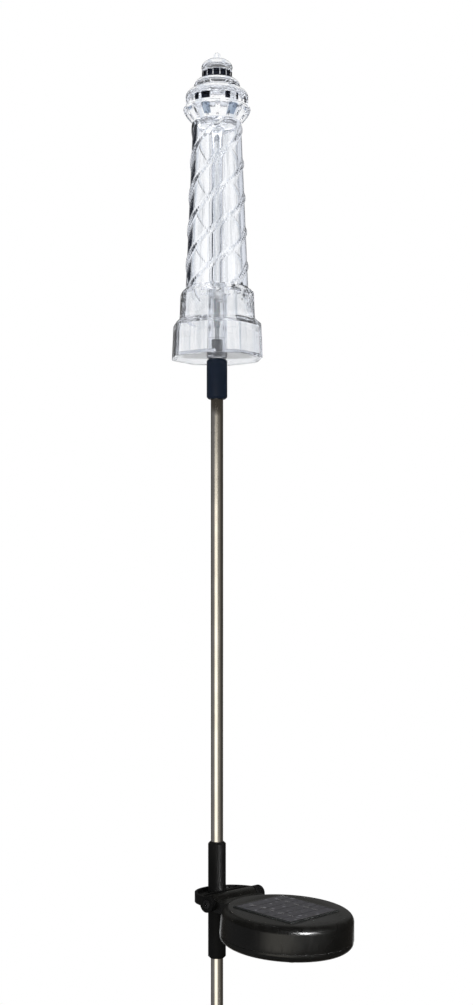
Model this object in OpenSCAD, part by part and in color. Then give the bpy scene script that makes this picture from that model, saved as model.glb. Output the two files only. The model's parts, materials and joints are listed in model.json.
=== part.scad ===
// Solar garden stake light: a clear lighthouse on a steel pole, fed by a round
// solar panel that tilts on a bracket low on the pole.
// Millimetres, +Z up. The origin is on the pole's axis at soil level, where the
// stake's round collar enters the ground. The panel leans out along +X, and its
// hinge axis runs along Y.

/* [Ground stake] */
// Diameter of the stake's round collar
stake_d = 14; // [13:0.5:18]
// Height of the round collar that stands in the soil
stake_collar_h = 22; // [18:1:30]
// Length of the crossed blades under the collar
blade_len = 112; // [80:1:150]
// Thickness of one blade
blade_t = 2.4; // [2:0.1:3]

/* [Pole] */
// Outer diameter of both tubes
pole_d = 8; // [7:0.25:9]
// Wall of both tubes
pole_wall = 0.6; // [0.5:0.1:1]
// Lower tube that shows above the stake
lower_shown = 143; // [100:1:250]
// Upper tube that shows under the tower's collar
upper_shown = 285; // [200:1:400]
// Radial clearance of a tube pushed into its socket
push_fit = 0.05; // [0.03:0.01:0.1]

/* [Coupling sleeve and bracket] */
// Outer diameter of the sleeve
sleeve_d = 11.5; // [11.5:0.25:14]
// Length of the sleeve
sleeve_len = 75; // [70:1:100]
// Height of the hinge axis above the sleeve's lower end
hinge_rise = 39.5; // [38:0.5:45]
// Height of the tray's rim above the hinge axis
tray_rise = 4.6; // [4:0.2:5.6]
// Depth of the tray's rim from top to bottom
tray_depth = 6; // [5:0.5:8]
// Thickness of the tray's rim
rim_t = 1.8; // [1.5:0.1:2.5]
// Depth of the dish inside the rim
dish_depth = 2.2; // [1.5:0.1:3]
// Thickness of each hinge ear
ear_t = 2.9; // [2.5:0.1:4]

/* [Hinge] */
// Diameter of the barrel and of the two ears around the bolt
barrel_d = 10.4; // [9:0.2:12]
// Length of the barrel between the washers
barrel_len = 39.2; // [34:0.2:46]
// Gap between the sleeve and the barrel
barrel_gap = 1.05; // [0.8:0.05:2]
// Diameter of the hinge bolt's shank
bolt_d = 3.2; // [2.5:0.1:4]
// Radial running clearance of the bolt in the barrel
bolt_clear = 0.06; // [0.04:0.01:0.1]
// Thickness of each washer
washer_t = 0.5; // [0.4:0.1:1]
// Length of the clamping knob
knob_len = 5; // [4.5:0.25:8]
// Grip ridges around the knob
knob_ridges = 18; // [12:1:24]

/* [Solar panel] */
// Diameter of the housing at its seam
panel_d = 83.6; // [80:0.2:96]
// Gap between the barrel and the housing's rim
panel_gap = 0.7; // [0.5:0.1:2]
// Angle of the panel's outer end below level at rest
panel_tilt = 4; // [0:1:15]
// Height of the housing's flat top above the hinge axis
top_rise = 3.4; // [3:0.1:4.4]
// Height of the upper shell
shell_h = 16; // [15:0.5:22]
// Height of the lower cover
cover_h = 6.6; // [6:0.2:9]
// Radius of the upper shell's rounded shoulder
shoulder_r = 5; // [3:0.25:6]
// Wall of the upper shell and of the cover
shell_wall = 2.2; // [1.8:0.1:2.4]
// Side of the square solar cell
cell_w = 46.5; // [40:0.5:48]
// Height of the cell above the housing's top
cell_proud = 0.8; // [0.4:0.1:1.2]

/* [Panel contents] */
// Diameter of the rechargeable cell
battery_d = 10.5; // [10:0.1:11]
// Length of the rechargeable cell
battery_len = 44.5; // [40:0.5:46]
// Travel of the power switch
switch_travel = 3; // [2:0.25:4]
// Screws that hold the cover
cover_screws = 4; // [3:1:6]

/* [Tower collar] */
// Diameter of the collar
collar_d = 13.3; // [12.5:0.1:16]
// Length of the collar
collar_len = 26; // [24:0.5:40]
// Diameter of the neck that enters the tower
neck_d = 7; // [6:0.1:7.4]
// Length of the neck
neck_len = 12; // [9:0.5:16]

/* [Tower] */
// Corner radius of the octagonal base at its foot
base_r = 30.7; // [28:0.1:34]
// Height of the lower tier's upright walls
tier_low_h = 21.8; // [18:0.2:26]
// Corner radius of the upper tier at its foot
tier_up_r = 25.6; // [24.6:0.1:26.2]
// Height of the upper tier's upright walls
tier_up_h = 17; // [14:0.2:22]
// Height of each sloped shoulder above a tier
step_h = 3.4; // [2.5:0.1:5]
// Radius of the shaft at its foot
shaft_foot_r = 20.1; // [18.5:0.1:21]
// Radius of the shaft under the gallery
shaft_top_r = 15.5; // [14.5:0.1:17]
// Height of the shaft from the upper tier to the gallery
shaft_h = 106.4; // [90:0.5:130]
// Wall of the clear body
tower_wall = 2.6; // [2:0.1:3]
// Turn of the tower on its collar
tower_turn = 28; // [0:1:44]

/* [Spiral ribs] */
// Number of spiral ribs
rib_count = 4; // [3:1:6]
// Climb of a rib in one turn
rib_pitch = 88; // [70:1:120]
// Width of a rib at its foot
rib_w = 3.2; // [2:0.1:4]
// Height of a rib above the shaft
rib_h = 0.8; // [0.4:0.1:1.4]

/* [Gallery and lantern] */
// Radius of the gallery's lip
lip_r = 21.6; // [20.5:0.1:23]
// Height of the corbelled flare under the lip
flare_h = 8; // [6:0.2:10]
// Radius of the gallery's railing
rail_r = 20.2; // [19.6:0.1:20.6]
// Height of the railing
rail_h = 6.6; // [5.5:0.1:8]
// Number of corbels, and of panels in the railing
corbel_count = 16; // [12:1:18]
// Radius of the small upper gallery
disc_r = 14.9; // [14:0.1:16]
// Height of the small upper gallery
disc_h = 6.2; // [5.5:0.1:8]
// Radius of the lantern room
lantern_r = 9.7; // [9:0.1:10.4]
// Height of the lantern room
lantern_h = 7.2; // [6.5:0.1:9]
// Number of lantern panes
pane_count = 14; // [10:1:16]
// Radius of the dome's eaves
eaves_r = 10.1; // [10:0.1:11.5]
// Height of the dome over its eaves
dome_h = 6.1; // [5:0.1:7.5]
// Radius of the ball finial
ball_r = 2.4; // [1.8:0.1:3]

/* [Light] */
// Diameter of the clear light tube in the shaft
tube_d = 9.7; // [9:0.1:11]
// Diameter of the base plate's socket for the light tube
socket_d = 12.9; // [12.4:0.1:15]
// Height of the socket above the tower's foot
socket_h = 45; // [40:0.5:55]
// Diameter of the lamp
led_d = 5; // [4:0.1:5]
// Diameter of one insulated wire
wire_d = 1.2; // [1:0.1:1.4]

/* [Hidden] */

$fn = 96;
eps = 0.01;                     // overreach of a cut past a face
bond = 0.1;                     // glue line between two clear mouldings
side_gap = 0.05;                // play between faces that slide or seat
edge = 1.3;                     // chamfer at the ends of the black mouldings

// Heights along the pole
socket_floor = 2;               // solid floor under the lower tube
stake_cone_h = 3;               // sloped top of the stake's collar
lower_plug = 21;                // lower tube inside the sleeve
wire_room = 10;                 // space between the tube ends, where the wires turn out
collar_plug = 18;               // upper tube inside the collar
stake_foot_z = -stake_collar_h;
lower_pole_z = stake_foot_z + socket_floor;
sleeve_z = stake_cone_h + lower_shown;
lower_pole_top = sleeve_z + lower_plug;
upper_pole_z = lower_pole_top + wire_room;
sleeve_top = sleeve_z + sleeve_len;
collar_z = sleeve_top + upper_shown;
upper_pole_top = collar_z + collar_plug;
tower_z = collar_z + collar_len;
outlet_z = lower_pole_top + wire_room / 2;

pole_r = pole_d / 2;
pole_bore_r = pole_r + push_fit;

// Hinge
hinge_x = sleeve_d / 2 + barrel_gap + barrel_d / 2;
hinge_z = sleeve_z + hinge_rise;
barrel_r = barrel_d / 2;
bolt_r = bolt_d / 2;
barrel_end = barrel_len / 2;
ear_in = barrel_end + washer_t + 2 * side_gap;
ear_out = ear_in + ear_t;
tray_r = ear_out;
tray_front = hinge_x - barrel_r - 0.5;      // tray's straight edge, clear of the barrel
head_r = bolt_r + 1.3;
head_h = 1.3;
nut_r = bolt_r * 1.85;                      // hexagon's corner radius
nut_h = 2.4;
knob_in = ear_out + side_gap;

// Panel housing, in the panel's own frame: origin on the hinge axis, top level
panel_r = panel_d / 2;
panel_x = barrel_r + panel_gap + panel_r;
shell_draft = 0.6;
shell_top_r = panel_r - shell_draft;
seam_z = top_rise - shell_h;
cover_z = seam_z - cover_h;
seal_t = 0.5;
cover_step = 0.3;                           // cover stands in from the shell's side
cover_r = panel_r - cover_step;
cover_flat_r = cover_r - 8.5;
cover_curve = 5;                            // height of the cover's curved edge
spigot_h = 2.4;                             // cover's rim inside the shell
spigot_gap = 0.2;
cell_set = 1.5;                             // cell towards the hinge from the middle
cell_x = panel_x - cell_set;
cell_depth = 1.4;                           // pocket for the cell in the shell's top
cell_gap = 0.3;
cell_skin = 0.3;                            // dark cell layer on its board
cell_lead_d = 4;                            // hole under the cell for its leads
boss_d = 6.6;
boss_orbit = panel_r - shell_wall - boss_d / 2 - 1.2;
screw_r = 1.2;
screw_head_r = 2.6;
screw_head_h = 1.8;
cover_floor = cover_z + shell_wall;
web_h = 7;                                  // web between the barrel and the shell
web_top = min(2.4, top_rise - 0.6);
shell_outlet_z = -8;

// Panel contents
battery_set = 9;                            // battery's bay beyond the panel's middle
battery_x = panel_x + battery_set;
battery_z = cover_floor + 1.6 + battery_d / 2;
contact_t = 0.5;
contact_gap = 1.6;                          // sprung contact behind the cell
bay_wall = 1.2;
bay_h = 6;
bay_y0 = -battery_len / 2 - contact_gap - contact_t - side_gap;
bay_y1 = battery_len / 2 + contact_t + 2 * side_gap;
bay_floor = cover_floor + 1;
door_len = battery_len + 1.2;
door_w = battery_d + 3;
door_t = 1.8;
door_gap = 0.2;
door_lip = 1.2;
door_tab = 7;                               // screwed end of the door
board_set = 17;                             // board on the hinge side of the middle
board_x = panel_x - board_set;
board_l = 16;
board_w = 34;
board_t = 1.6;
board_z = cover_floor + 6.4;
switch_x = board_x;
switch_y = -8;
switch_l = 8.6;
switch_w = 5;
switch_h = 4;
slider_w = 2.6;
slider_l = 3;
slot_gap = 0.35;
slider_out = 1.2;                           // slider's reach below the cover
post_r = 2.2;                               // posts and pins that carry the board
pin_r = 1;

// Tower, heights above its foot
oct = cos(180 / 8);                         // flat-to-corner ratio of an octagon
draft = 0.045;                              // lean of the tiers' walls
tier_low_r = base_r - draft * tier_low_h;
tier_up_z = tier_low_h + step_h;
tier_up_top = tier_up_z + tier_up_h;
tier_up_top_r = tier_up_r - draft * tier_up_h;
shaft_z = tier_up_top + step_h;
shaft_top = shaft_z + shaft_h;
corner_wall = tower_wall / oct;
plate_t = 2.4;
plate_gap = 0.15;

// Spiral ribs
rib_steps = 40;
rib_root = 0.9;                             // depth of a rib's root in the wall
rib_crest = 0.5;                            // crest width as a share of the foot
rib_z0 = shaft_z - step_h / 2;
rib_z1 = shaft_top - 0.4;
rib_turn = 38;                              // places the ribs around the shaft

// Gallery and lantern, heights above the tower's foot
gallery_z = shaft_top + bond;
lip_z = gallery_z + flare_h;
rail_z = lip_z + 1.6;
rail_top = rail_z + rail_h;
roof_slope_h = 5.2;                         // rounded top of the gallery
disc_z = rail_top + roof_slope_h;
gallery_top_r = disc_r - 1.2;
spigot_len = 4;
spigot_r = shaft_top_r - tower_wall - 0.1;
groove_r = 1.9;
gallery_turn = 16;                          // turn of the gallery on the shaft
panel_cut = 0.9;                            // depth of the railing's panels
panel_bar = 1.8;                            // bar between two panels
disc_foot_r = gallery_top_r;
lantern_z = disc_z + bond + disc_h;
pane_cut = 0.8;
pane_bar = 1.2;
eaves_z = lantern_z + lantern_h + bond;
ball_z = eaves_z + dome_h + ball_r * 0.75;

// Light
socket_r = socket_d / 2;
tube_r = tube_d / 2;
tube_fit = 0.1;
tube_hold = 2.6;                            // light tube inside the gallery's spigot
tube_seat = 6;                              // light tube inside the socket
tube_z = socket_h - tube_seat;
tube_top = gallery_z - spigot_len + tube_hold;
tube_bore_r = 2.3;
led_r = led_d / 2;
led_flange = 0.4;
led_body_h = 5;
led_z = tube_z + 1;
shrink_d = 2.6;
shrink_len = 18.5;
shrink_top = led_z - 1.5;
shrink_z = shrink_top - shrink_len;
leg_r = 0.25;
wire_spread = 1;                            // half the distance between the two wires
wire_bend_r = 2.6;
wire_splice = 8;                            // wire inside the heat-shrink
neck_bore_r = wire_spread + wire_d / 2 + 0.3;
outlet_r = neck_bore_r;                     // wire holes in the sleeve and the shell
neck_gap = 0.05;
pole_a = 84;                                // a ball's outline ends in a small flat here
neck_a = -50;                               // and starts inside the dome here

function arc(cx, cy, r, a0, a1, n) =
    [for (i = [0:n]) let (a = a0 + (a1 - a0) * i / n) [cx + r * cos(a), cy + r * sin(a)]];

module at_panel() {
    translate([hinge_x, 0, hinge_z]) rotate([0, panel_tilt, 0]) children();
}

module at_tower() {
    translate([0, 0, tower_z]) rotate([0, 0, tower_turn]) children();
}

module tube(r_out, r_in, z0, z1) {
    translate([0, 0, z0]) difference() {
        cylinder(r = r_out, h = z1 - z0);
        translate([0, 0, -eps]) cylinder(r = r_in, h = z1 - z0 + 2 * eps);
    }
}

// Round bar along Y from y0 to y1
module bar_y(r, y0, y1) {
    translate([0, y0, 0]) rotate([-90, 0, 0]) cylinder(r = r, h = y1 - y0);
}

// ---- Stake and pole ----

module ground_stake() {
    color([0.07, 0.07, 0.08]) difference() {
        union() {
            translate([0, 0, stake_foot_z]) cylinder(d = stake_d, h = stake_collar_h);
            cylinder(d1 = stake_d, d2 = pole_d + 2, h = stake_cone_h);
            for (turn = [0, 90]) rotate([0, 0, turn]) blade();
        }
        translate([0, 0, lower_pole_z]) cylinder(r = pole_bore_r, h = stake_collar_h + stake_cone_h);
    }
}

// One blade: parallel for a third of its length, then down to a blunt point
module blade() {
    half = stake_d / 2 - 0.4;
    z0 = stake_foot_z + eps;
    outline = [
        [-half, z0], [-half, z0 - blade_len * 0.3], [-blade_t / 2, stake_foot_z - blade_len],
        [blade_t / 2, stake_foot_z - blade_len], [half, z0 - blade_len * 0.3], [half, z0]
    ];
    rotate([90, 0, 0]) linear_extrude(blade_t, center = true) polygon(outline);
}

module lower_pole() {
    color([0.72, 0.70, 0.67]) tube(pole_r, pole_r - pole_wall, lower_pole_z, lower_pole_top);
}

module upper_pole() {
    color([0.72, 0.70, 0.67]) tube(pole_r, pole_r - pole_wall, upper_pole_z, upper_pole_top);
}

// ---- Bracket: sleeve, half-round tray and two ears in one moulding ----

module sleeve_body() {
    r = sleeve_d / 2;
    rotate_extrude() polygon([
        [0, sleeve_z], [r - edge, sleeve_z], [r, sleeve_z + edge],
        [r, sleeve_top - edge], [r - edge, sleeve_top], [0, sleeve_top]
    ]);
}

module tray_block(r, inset, z0, z1) {
    intersection() {
        translate([hinge_x, 0, z0]) cylinder(r = r, h = z1 - z0);
        translate([hinge_x - 2 * r, -r, z0]) cube([2 * r - inset, 2 * r, z1 - z0]);
    }
}

module pole_bracket() {
    top = hinge_z + tray_rise;
    front = hinge_x - tray_front;
    color([0.07, 0.07, 0.08]) difference() {
        union() {
            sleeve_body();
            difference() {
                tray_block(tray_r, 0, top - tray_depth, top);
                difference() {
                    tray_block(tray_r - rim_t, front + rim_t, top - dish_depth, top + 1);
                    translate([0, 0, top - dish_depth - 1]) cylinder(d = sleeve_d, h = dish_depth + 2);
                }
            }
            translate([hinge_x, 0, hinge_z]) bar_y(barrel_r, -ear_out, ear_out);
        }
        // Room for the panel's barrel between the ears
        translate([tray_front, -ear_in, hinge_z - 2 * barrel_r])
            cube([4 * barrel_r, 2 * ear_in, 4 * barrel_r]);
        // Bolt, with its head sunk in the left ear
        translate([hinge_x, 0, hinge_z]) {
            bar_y(bolt_r + side_gap, -ear_out - 1, ear_out + 1);
            bar_y(head_r + 0.3, -ear_out - 1, -ear_out + head_h);
        }
        // Sockets of the two tubes, the room between them and the wires' way out
        translate([0, 0, sleeve_z - 1]) cylinder(r = pole_bore_r, h = lower_plug + 1);
        translate([0, 0, upper_pole_z]) cylinder(r = pole_bore_r, h = sleeve_len);
        translate([0, 0, sleeve_z]) cylinder(r = pole_r - pole_wall, h = lower_plug + wire_room + 1);
        translate([0, 0, outlet_z]) rotate([0, 90, 0]) cylinder(r = outlet_r, h = sleeve_d);
    }
}

// ---- Hinge hardware ----

module hinge_bolt() {
    tip = knob_in + knob_len - 1.6;
    color([0.62, 0.63, 0.65]) translate([hinge_x, 0, hinge_z]) difference() {
        union() {
            bar_y(bolt_r, -ear_out, tip);
            bar_y(head_r, -ear_out + side_gap, -ear_out + head_h - side_gap);
        }
        translate([0, -ear_out - eps, 0]) rotate([-90, 0, 0])
            cylinder(r = bolt_r * 0.8, h = 1.1, $fn = 6);
    }
}

module hinge_washers() {
    color([0.25, 0.25, 0.26]) translate([hinge_x, 0, hinge_z]) for (side = [0, 180])
        rotate([0, 0, side]) difference() {
            bar_y(barrel_r - 0.4, barrel_end + side_gap, barrel_end + side_gap + washer_t);
            bar_y(bolt_r + 0.15, barrel_end - 1, barrel_end + washer_t + 1);
        }
}

module hinge_knob() {
    round_r = 1.4;
    y1 = knob_len;
    profile = concat([[0, 0], [barrel_r, 0]],
        arc(barrel_r - round_r, y1 - round_r, round_r, 0, 90, 8), [[0, y1]]);
    color([0.08, 0.08, 0.09]) translate([hinge_x, knob_in, hinge_z]) rotate([-90, 0, 0]) difference() {
        rotate_extrude() polygon(profile);
        for (i = [0:knob_ridges - 1]) rotate([0, 0, i * 360 / knob_ridges])
            translate([barrel_r + 0.1, 0, 0.8]) cylinder(r = 0.4, h = knob_len, $fn = 16);
        translate([0, 0, -1]) cylinder(r = bolt_r + side_gap, h = knob_len - 0.3);
        translate([0, 0, -eps]) cylinder(r = nut_r + side_gap, h = nut_h + side_gap, $fn = 6);
    }
}

module hinge_nut() {
    color([0.75, 0.62, 0.32]) translate([hinge_x, knob_in, hinge_z]) rotate([-90, 0, 0]) difference() {
        cylinder(r = nut_r, h = nut_h, $fn = 6);
        translate([0, 0, -1]) cylinder(r = bolt_r + 0.02, h = nut_h + 2);
    }
}

// ---- Panel housing ----

module shell_outside() {
    profile = concat([[0, seam_z], [panel_r, seam_z]],
        arc(shell_top_r - shoulder_r, top_rise - shoulder_r, shoulder_r, 0, 90, 12),
        [[0, top_rise]]);
    translate([panel_x, 0, 0]) rotate_extrude() polygon(profile);
}

module shell_inside() {
    r = shell_top_r - shell_wall;
    round_r = shoulder_r - shell_wall / 2;
    top = top_rise - cell_depth - 1.2;
    profile = concat([[0, seam_z - 1], [panel_r - shell_wall, seam_z - 1]],
        arc(r - round_r, top - round_r, round_r, 0, 90, 8), [[0, top]]);
    translate([panel_x, 0, 0]) rotate_extrude() polygon(profile);
}

module at_posts() {
    for (side = [-1, 1]) translate([board_x, side * (board_w / 2 - 3), 0]) children();
}

module at_door_screw(z) {
    translate([battery_x, door_len / 2 - door_tab / 2, z]) children();
}

module at_screws() {
    for (i = [0:cover_screws - 1]) translate([panel_x, 0, 0])
        rotate([0, 0, 45 + i * 360 / cover_screws]) translate([boss_orbit, 0, 0]) children();
}

module panel_shell() {
    color([0.09, 0.09, 0.09]) at_panel() difference() {
        union() {
            difference() {
                union() {
                    shell_outside();
                    translate([0, -barrel_end, web_top - web_h])
                        cube([panel_x - panel_r + 14, barrel_len, web_h]);
                }
                shell_inside();
            }
            bar_y(barrel_r, -barrel_end, barrel_end);
            at_screws() translate([0, 0, seam_z + spigot_h]) cylinder(d = boss_d, h = shell_h - spigot_h - 1.5);
        }
        bar_y(bolt_r + bolt_clear, -barrel_len, barrel_len);
        translate([cell_x - cell_w / 2 - cell_gap, -cell_w / 2 - cell_gap, top_rise - cell_depth])
            cube([cell_w + 2 * cell_gap, cell_w + 2 * cell_gap, cell_depth + 1]);
        translate([cell_x, 0, -shell_h]) cylinder(d = cell_lead_d, h = 2 * shell_h);
        at_screws() translate([0, 0, seam_z]) cylinder(r = screw_r, h = 9);
        translate([barrel_r, 0, shell_outlet_z]) rotate([0, 90, 0])
            cylinder(r = outlet_r, h = panel_gap + 2 * shell_wall);
    }
}

module panel_seal() {
    color([0.2, 0.2, 0.21]) at_panel() translate([panel_x, 0, 0])
        tube(panel_r - 0.5, panel_r - shell_wall + 0.1, seam_z - seal_t, seam_z);
}

module cover_outside() {
    top = seam_z - seal_t;
    curve_w = cover_r - cover_flat_r;
    profile = concat([[0, cover_z]],
        [for (i = [0:12]) let (a = 90 * i / 12)
            [cover_flat_r + curve_w * sin(a), cover_z + cover_curve * (1 - cos(a))]],
        [[cover_r, top], [panel_r - shell_wall - spigot_gap, top],
         [panel_r - shell_wall - spigot_gap, top + spigot_h + seal_t], [0, top + spigot_h + seal_t]]);
    translate([panel_x, 0, 0]) rotate_extrude() polygon(profile);
}

module cover_inside() {
    w = shell_wall;
    top = seam_z + spigot_h + 1;
    r = panel_r - 2 * w - spigot_gap;
    curve_w = r - cover_flat_r + w;
    profile = concat([[0, cover_floor]],
        [for (i = [0:8]) let (a = 90 * i / 8)
            [cover_flat_r - w + curve_w * sin(a), cover_floor + (cover_curve - 1.4) * (1 - cos(a))]],
        [[r, top], [0, top]]);
    translate([panel_x, 0, 0]) rotate_extrude() polygon(profile);
}

// The door's outline, grown by g, from z0 up to z1
module door_block(g, z0, z1) {
    translate([battery_x - door_w / 2 - g, -door_len / 2 - g, z0])
        cube([door_w + 2 * g, door_len + 2 * g, z1 - z0]);
}

module panel_cover() {
    color([0.1, 0.1, 0.11]) at_panel() difference() {
        union() {
            difference() {
                cover_outside();
                cover_inside();
            }
            // Posts over the screws, ledge and bay walls round the cell
            at_screws() translate([0, 0, cover_z + 1]) cylinder(d = boss_d, h = seam_z + spigot_h - cover_z - 1 - side_gap);
            translate([battery_x - door_w / 2 - bay_wall, bay_y0 - bay_wall, cover_floor - eps])
                cube([door_w + 2 * bay_wall, bay_y1 - bay_y0 + 2 * bay_wall, bay_h]);
            at_posts() {
                translate([0, 0, cover_floor - eps]) cylinder(r = post_r, h = board_z - cover_floor + eps);
                translate([0, 0, cover_floor]) cylinder(r = pin_r, h = board_z + board_t + 0.8 - cover_floor);
            }
        }
        at_screws() {
            translate([0, 0, cover_z - 1]) cylinder(r = screw_r + 0.3, h = cover_h + shell_h);
            translate([0, 0, cover_z - 1]) cylinder(r = screw_head_r + 0.3, h = screw_head_h + 1.6);
        }
        // Bay for the cell, seat for the door and the opening it closes
        translate([battery_x - door_w / 2, bay_y0, bay_floor]) cube([door_w, bay_y1 - bay_y0, bay_h]);
        door_block(door_gap, cover_z - 1, cover_z + door_t);
        translate([battery_x - door_w / 2 + door_lip, -door_len / 2 + door_lip, cover_z])
            cube([door_w - 2 * door_lip, door_len - door_lip - door_tab, cover_h]);
        at_door_screw(cover_z) cylinder(r = screw_r - 0.2, h = bay_floor - cover_z - 0.2);
        // Slot for the switch
        translate([switch_x - slider_w / 2 - slot_gap, switch_y - slider_l / 2 - slot_gap, cover_z - 1])
            cube([slider_w + 2 * slot_gap, slider_l + switch_travel + 2 * slot_gap, shell_wall + 2]);
    }
}

module screw(r, head_r, head_h, len, slot = 0.5) {
    difference() {
        union() {
            cylinder(r = head_r, h = head_h);
            cylinder(r = r, h = len);
        }
        for (turn = [0, 90]) rotate([0, 0, turn])
            translate([-head_r * 0.6, -slot / 2, -eps]) cube([head_r * 1.2, slot, head_h * 0.6]);
    }
}

module cover_screws() {
    z0 = cover_z + 0.6;
    color([0.6, 0.6, 0.62]) at_panel() at_screws() translate([0, 0, z0])
        screw(screw_r - 0.05, screw_head_r, screw_head_h, seam_z + spigot_h + 5 - z0);
}

module battery_door() {
    color([0.1, 0.1, 0.11]) at_panel() difference() {
        door_block(0, cover_z, cover_z + door_t - side_gap);
        at_door_screw(cover_z - 1) {
            cylinder(r = screw_r + 0.2, h = 4);
            cylinder(r = screw_r + 1.4, h = 2);
        }
        // Finger grooves at the free end
        for (i = [0:3]) translate([battery_x - door_w * 0.3, -door_len / 2 + 4 + 1.6 * i, cover_z - eps])
            cube([door_w * 0.6, 0.8, 0.5]);
    }
}

module door_screw() {
    color([0.6, 0.6, 0.62]) at_panel() at_door_screw(cover_z + 0.2)
        screw(screw_r - 0.25, screw_r + 1.2, 0.75, 2.7, 0.4);
}

// ---- Panel contents ----

module cell_square(z0, z1, inset) {
    w = cell_w - 2 * inset;
    at_panel() translate([cell_x - w / 2, -w / 2, z0]) cube([w, w, z1 - z0]);
}

module cell_board() {
    color([0.1, 0.12, 0.12])
        cell_square(top_rise - cell_depth, top_rise + cell_proud - cell_skin, 0);
}

module solar_cell() {
    color([0.2, 0.21, 0.26])
        cell_square(top_rise + cell_proud - cell_skin, top_rise + cell_proud, 0.25);
}

module battery() {
    nub_r = battery_d * 0.25;
    color([0.25, 0.45, 0.3]) at_panel() translate([battery_x, 0, battery_z]) {
        bar_y(battery_d / 2, -battery_len / 2, battery_len / 2 - 1);
        bar_y(nub_r, battery_len / 2 - 1, battery_len / 2);
    }
}

module battery_contacts() {
    w = battery_d * 0.7;
    z0 = bay_floor;
    h = battery_d - 1;
    color([0.78, 0.74, 0.6]) at_panel() translate([battery_x, 0, 0]) {
        // Plate against the nub, and a plate with a coned spring at the flat end
        translate([-w / 2, battery_len / 2 + side_gap, z0]) cube([w, contact_t, h]);
        translate([-w / 2, -battery_len / 2 - contact_gap - contact_t, z0]) cube([w, contact_t, h]);
        translate([0, -battery_len / 2 - contact_gap - eps, battery_z]) rotate([-90, 0, 0])
            cylinder(r1 = battery_d * 0.33, r2 = battery_d * 0.2, h = contact_gap - side_gap);
    }
}

module circuit_board() {
    color([0.1, 0.35, 0.2]) at_panel() difference() {
        translate([board_x - board_l / 2, -board_w / 2, board_z]) cube([board_l, board_w, board_t]);
        at_posts() translate([0, 0, board_z - 1]) cylinder(r = pin_r + side_gap, h = board_t + 2);
    }
}

module board_parts() {
    z = board_z + board_t;
    color([0.12, 0.12, 0.13]) at_panel() translate([board_x, 0, z]) {
        translate([-2.5, -2, 0]) cube([5, 4, 1.6]);
        translate([0, 7, 0]) cylinder(r = 2.6, h = 3.2);
        translate([3.6, -9, 0]) cylinder(r = 2, h = 4.2);
        translate([-6, -11, 0]) cube([3, 2, 1]);
    }
}

module switch_body() {
    z0 = board_z - switch_h;
    color([0.5, 0.5, 0.52]) at_panel() difference() {
        translate([switch_x - switch_w / 2, switch_y + switch_travel / 2 - switch_l / 2, z0])
            cube([switch_w, switch_l, switch_h]);
        translate([switch_x - slider_w / 2 - side_gap, switch_y - slider_l / 2 - side_gap, z0 - 1])
            cube([slider_w + 2 * side_gap, slider_l + switch_travel + 2 * side_gap, switch_h - 0.6]);
    }
}

module switch_slider() {
    z0 = cover_z - slider_out;
    z1 = board_z - 1.9;
    color([0.75, 0.75, 0.74]) at_panel() difference() {
        translate([switch_x - slider_w / 2, switch_y - slider_l / 2, z0])
            cube([slider_w, slider_l, z1 - z0]);
        for (i = [-1, 0, 1]) translate([switch_x - slider_w, switch_y + i * 0.9 - 0.15, z0 - eps])
            cube([2 * slider_w, 0.3, 0.3]);
    }
}

// ---- Collar ----

module collar() {
    r = collar_d / 2;
    neck_r = neck_d / 2;
    color([0.1, 0.11, 0.15]) difference() {
        rotate_extrude() polygon([
            [0, collar_z], [r - edge, collar_z], [r, collar_z + edge],
            [r, tower_z - edge], [r - edge, tower_z], [neck_r, tower_z],
            [neck_r, tower_z + neck_len - 0.6], [neck_r - 0.6, tower_z + neck_len],
            [0, tower_z + neck_len]
        ]);
        translate([0, 0, collar_z - 1]) cylinder(r = pole_bore_r, h = collar_plug + 1);
        translate([0, 0, collar_z]) cylinder(r = neck_bore_r, h = collar_len + neck_len + 1);
    }
}

// ---- Tower ----

// An octagonal prism or cone with a corner at angle 0
module tier(r0, r1, z0, z1) {
    translate([0, 0, z0]) cylinder(r1 = r0, r2 = r1, h = z1 - z0, $fn = 8);
}

function shaft_r(z) = shaft_foot_r + (shaft_top_r - shaft_foot_r) * (z - shaft_z) / shaft_h;

// Corners of a rib's section at height z: two in the wall, two on the crest. The sides
// pass through the wall's surface rib_w apart.
function rib_section(z, turn) = let (
    r = shaft_r(z),
    a = turn + rib_turn + 360 * z / rib_pitch,
    crest = rib_w * rib_crest,
    root = rib_w + (rib_w - crest) * rib_root / rib_h)
    [for (c = [[-rib_root, root], [-rib_root, -root], [rib_h, -crest], [rib_h, crest]])
        let (b = a + 90 / PI * c[1] / r) [(r + c[0]) * cos(b), (r + c[0]) * sin(b), z]];

module rib(turn) {
    sections = [for (i = [0:rib_steps]) rib_section(rib_z0 + (rib_z1 - rib_z0) * i / rib_steps, turn)];
    n = 4;
    points = [for (s = sections) for (p = s) p];
    sides = [for (i = [0:rib_steps - 1]) for (k = [0:n - 1]) let (
        a = i * n + k, b = i * n + (k + 1) % n, c = a + n, d = b + n)
        each [[a, c, b], [b, c, d]]];
    caps = [[for (k = [0:n - 1]) k], [for (k = [n - 1:-1:0]) rib_steps * n + k]];
    polyhedron(points, concat(sides, caps), convexity = 6);
}

module tower_outside() {
    tier(base_r, tier_low_r, 0, tier_low_h);
    tier(tier_low_r, tier_up_r, tier_low_h, tier_up_z);
    tier(tier_up_r, tier_up_top_r, tier_up_z, tier_up_top);
    tier(tier_up_top_r, shaft_foot_r + 0.4, tier_up_top, shaft_z);
    translate([0, 0, shaft_z - step_h])
        cylinder(r1 = shaft_r(shaft_z - step_h), r2 = shaft_top_r, h = shaft_h + step_h);
}

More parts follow.
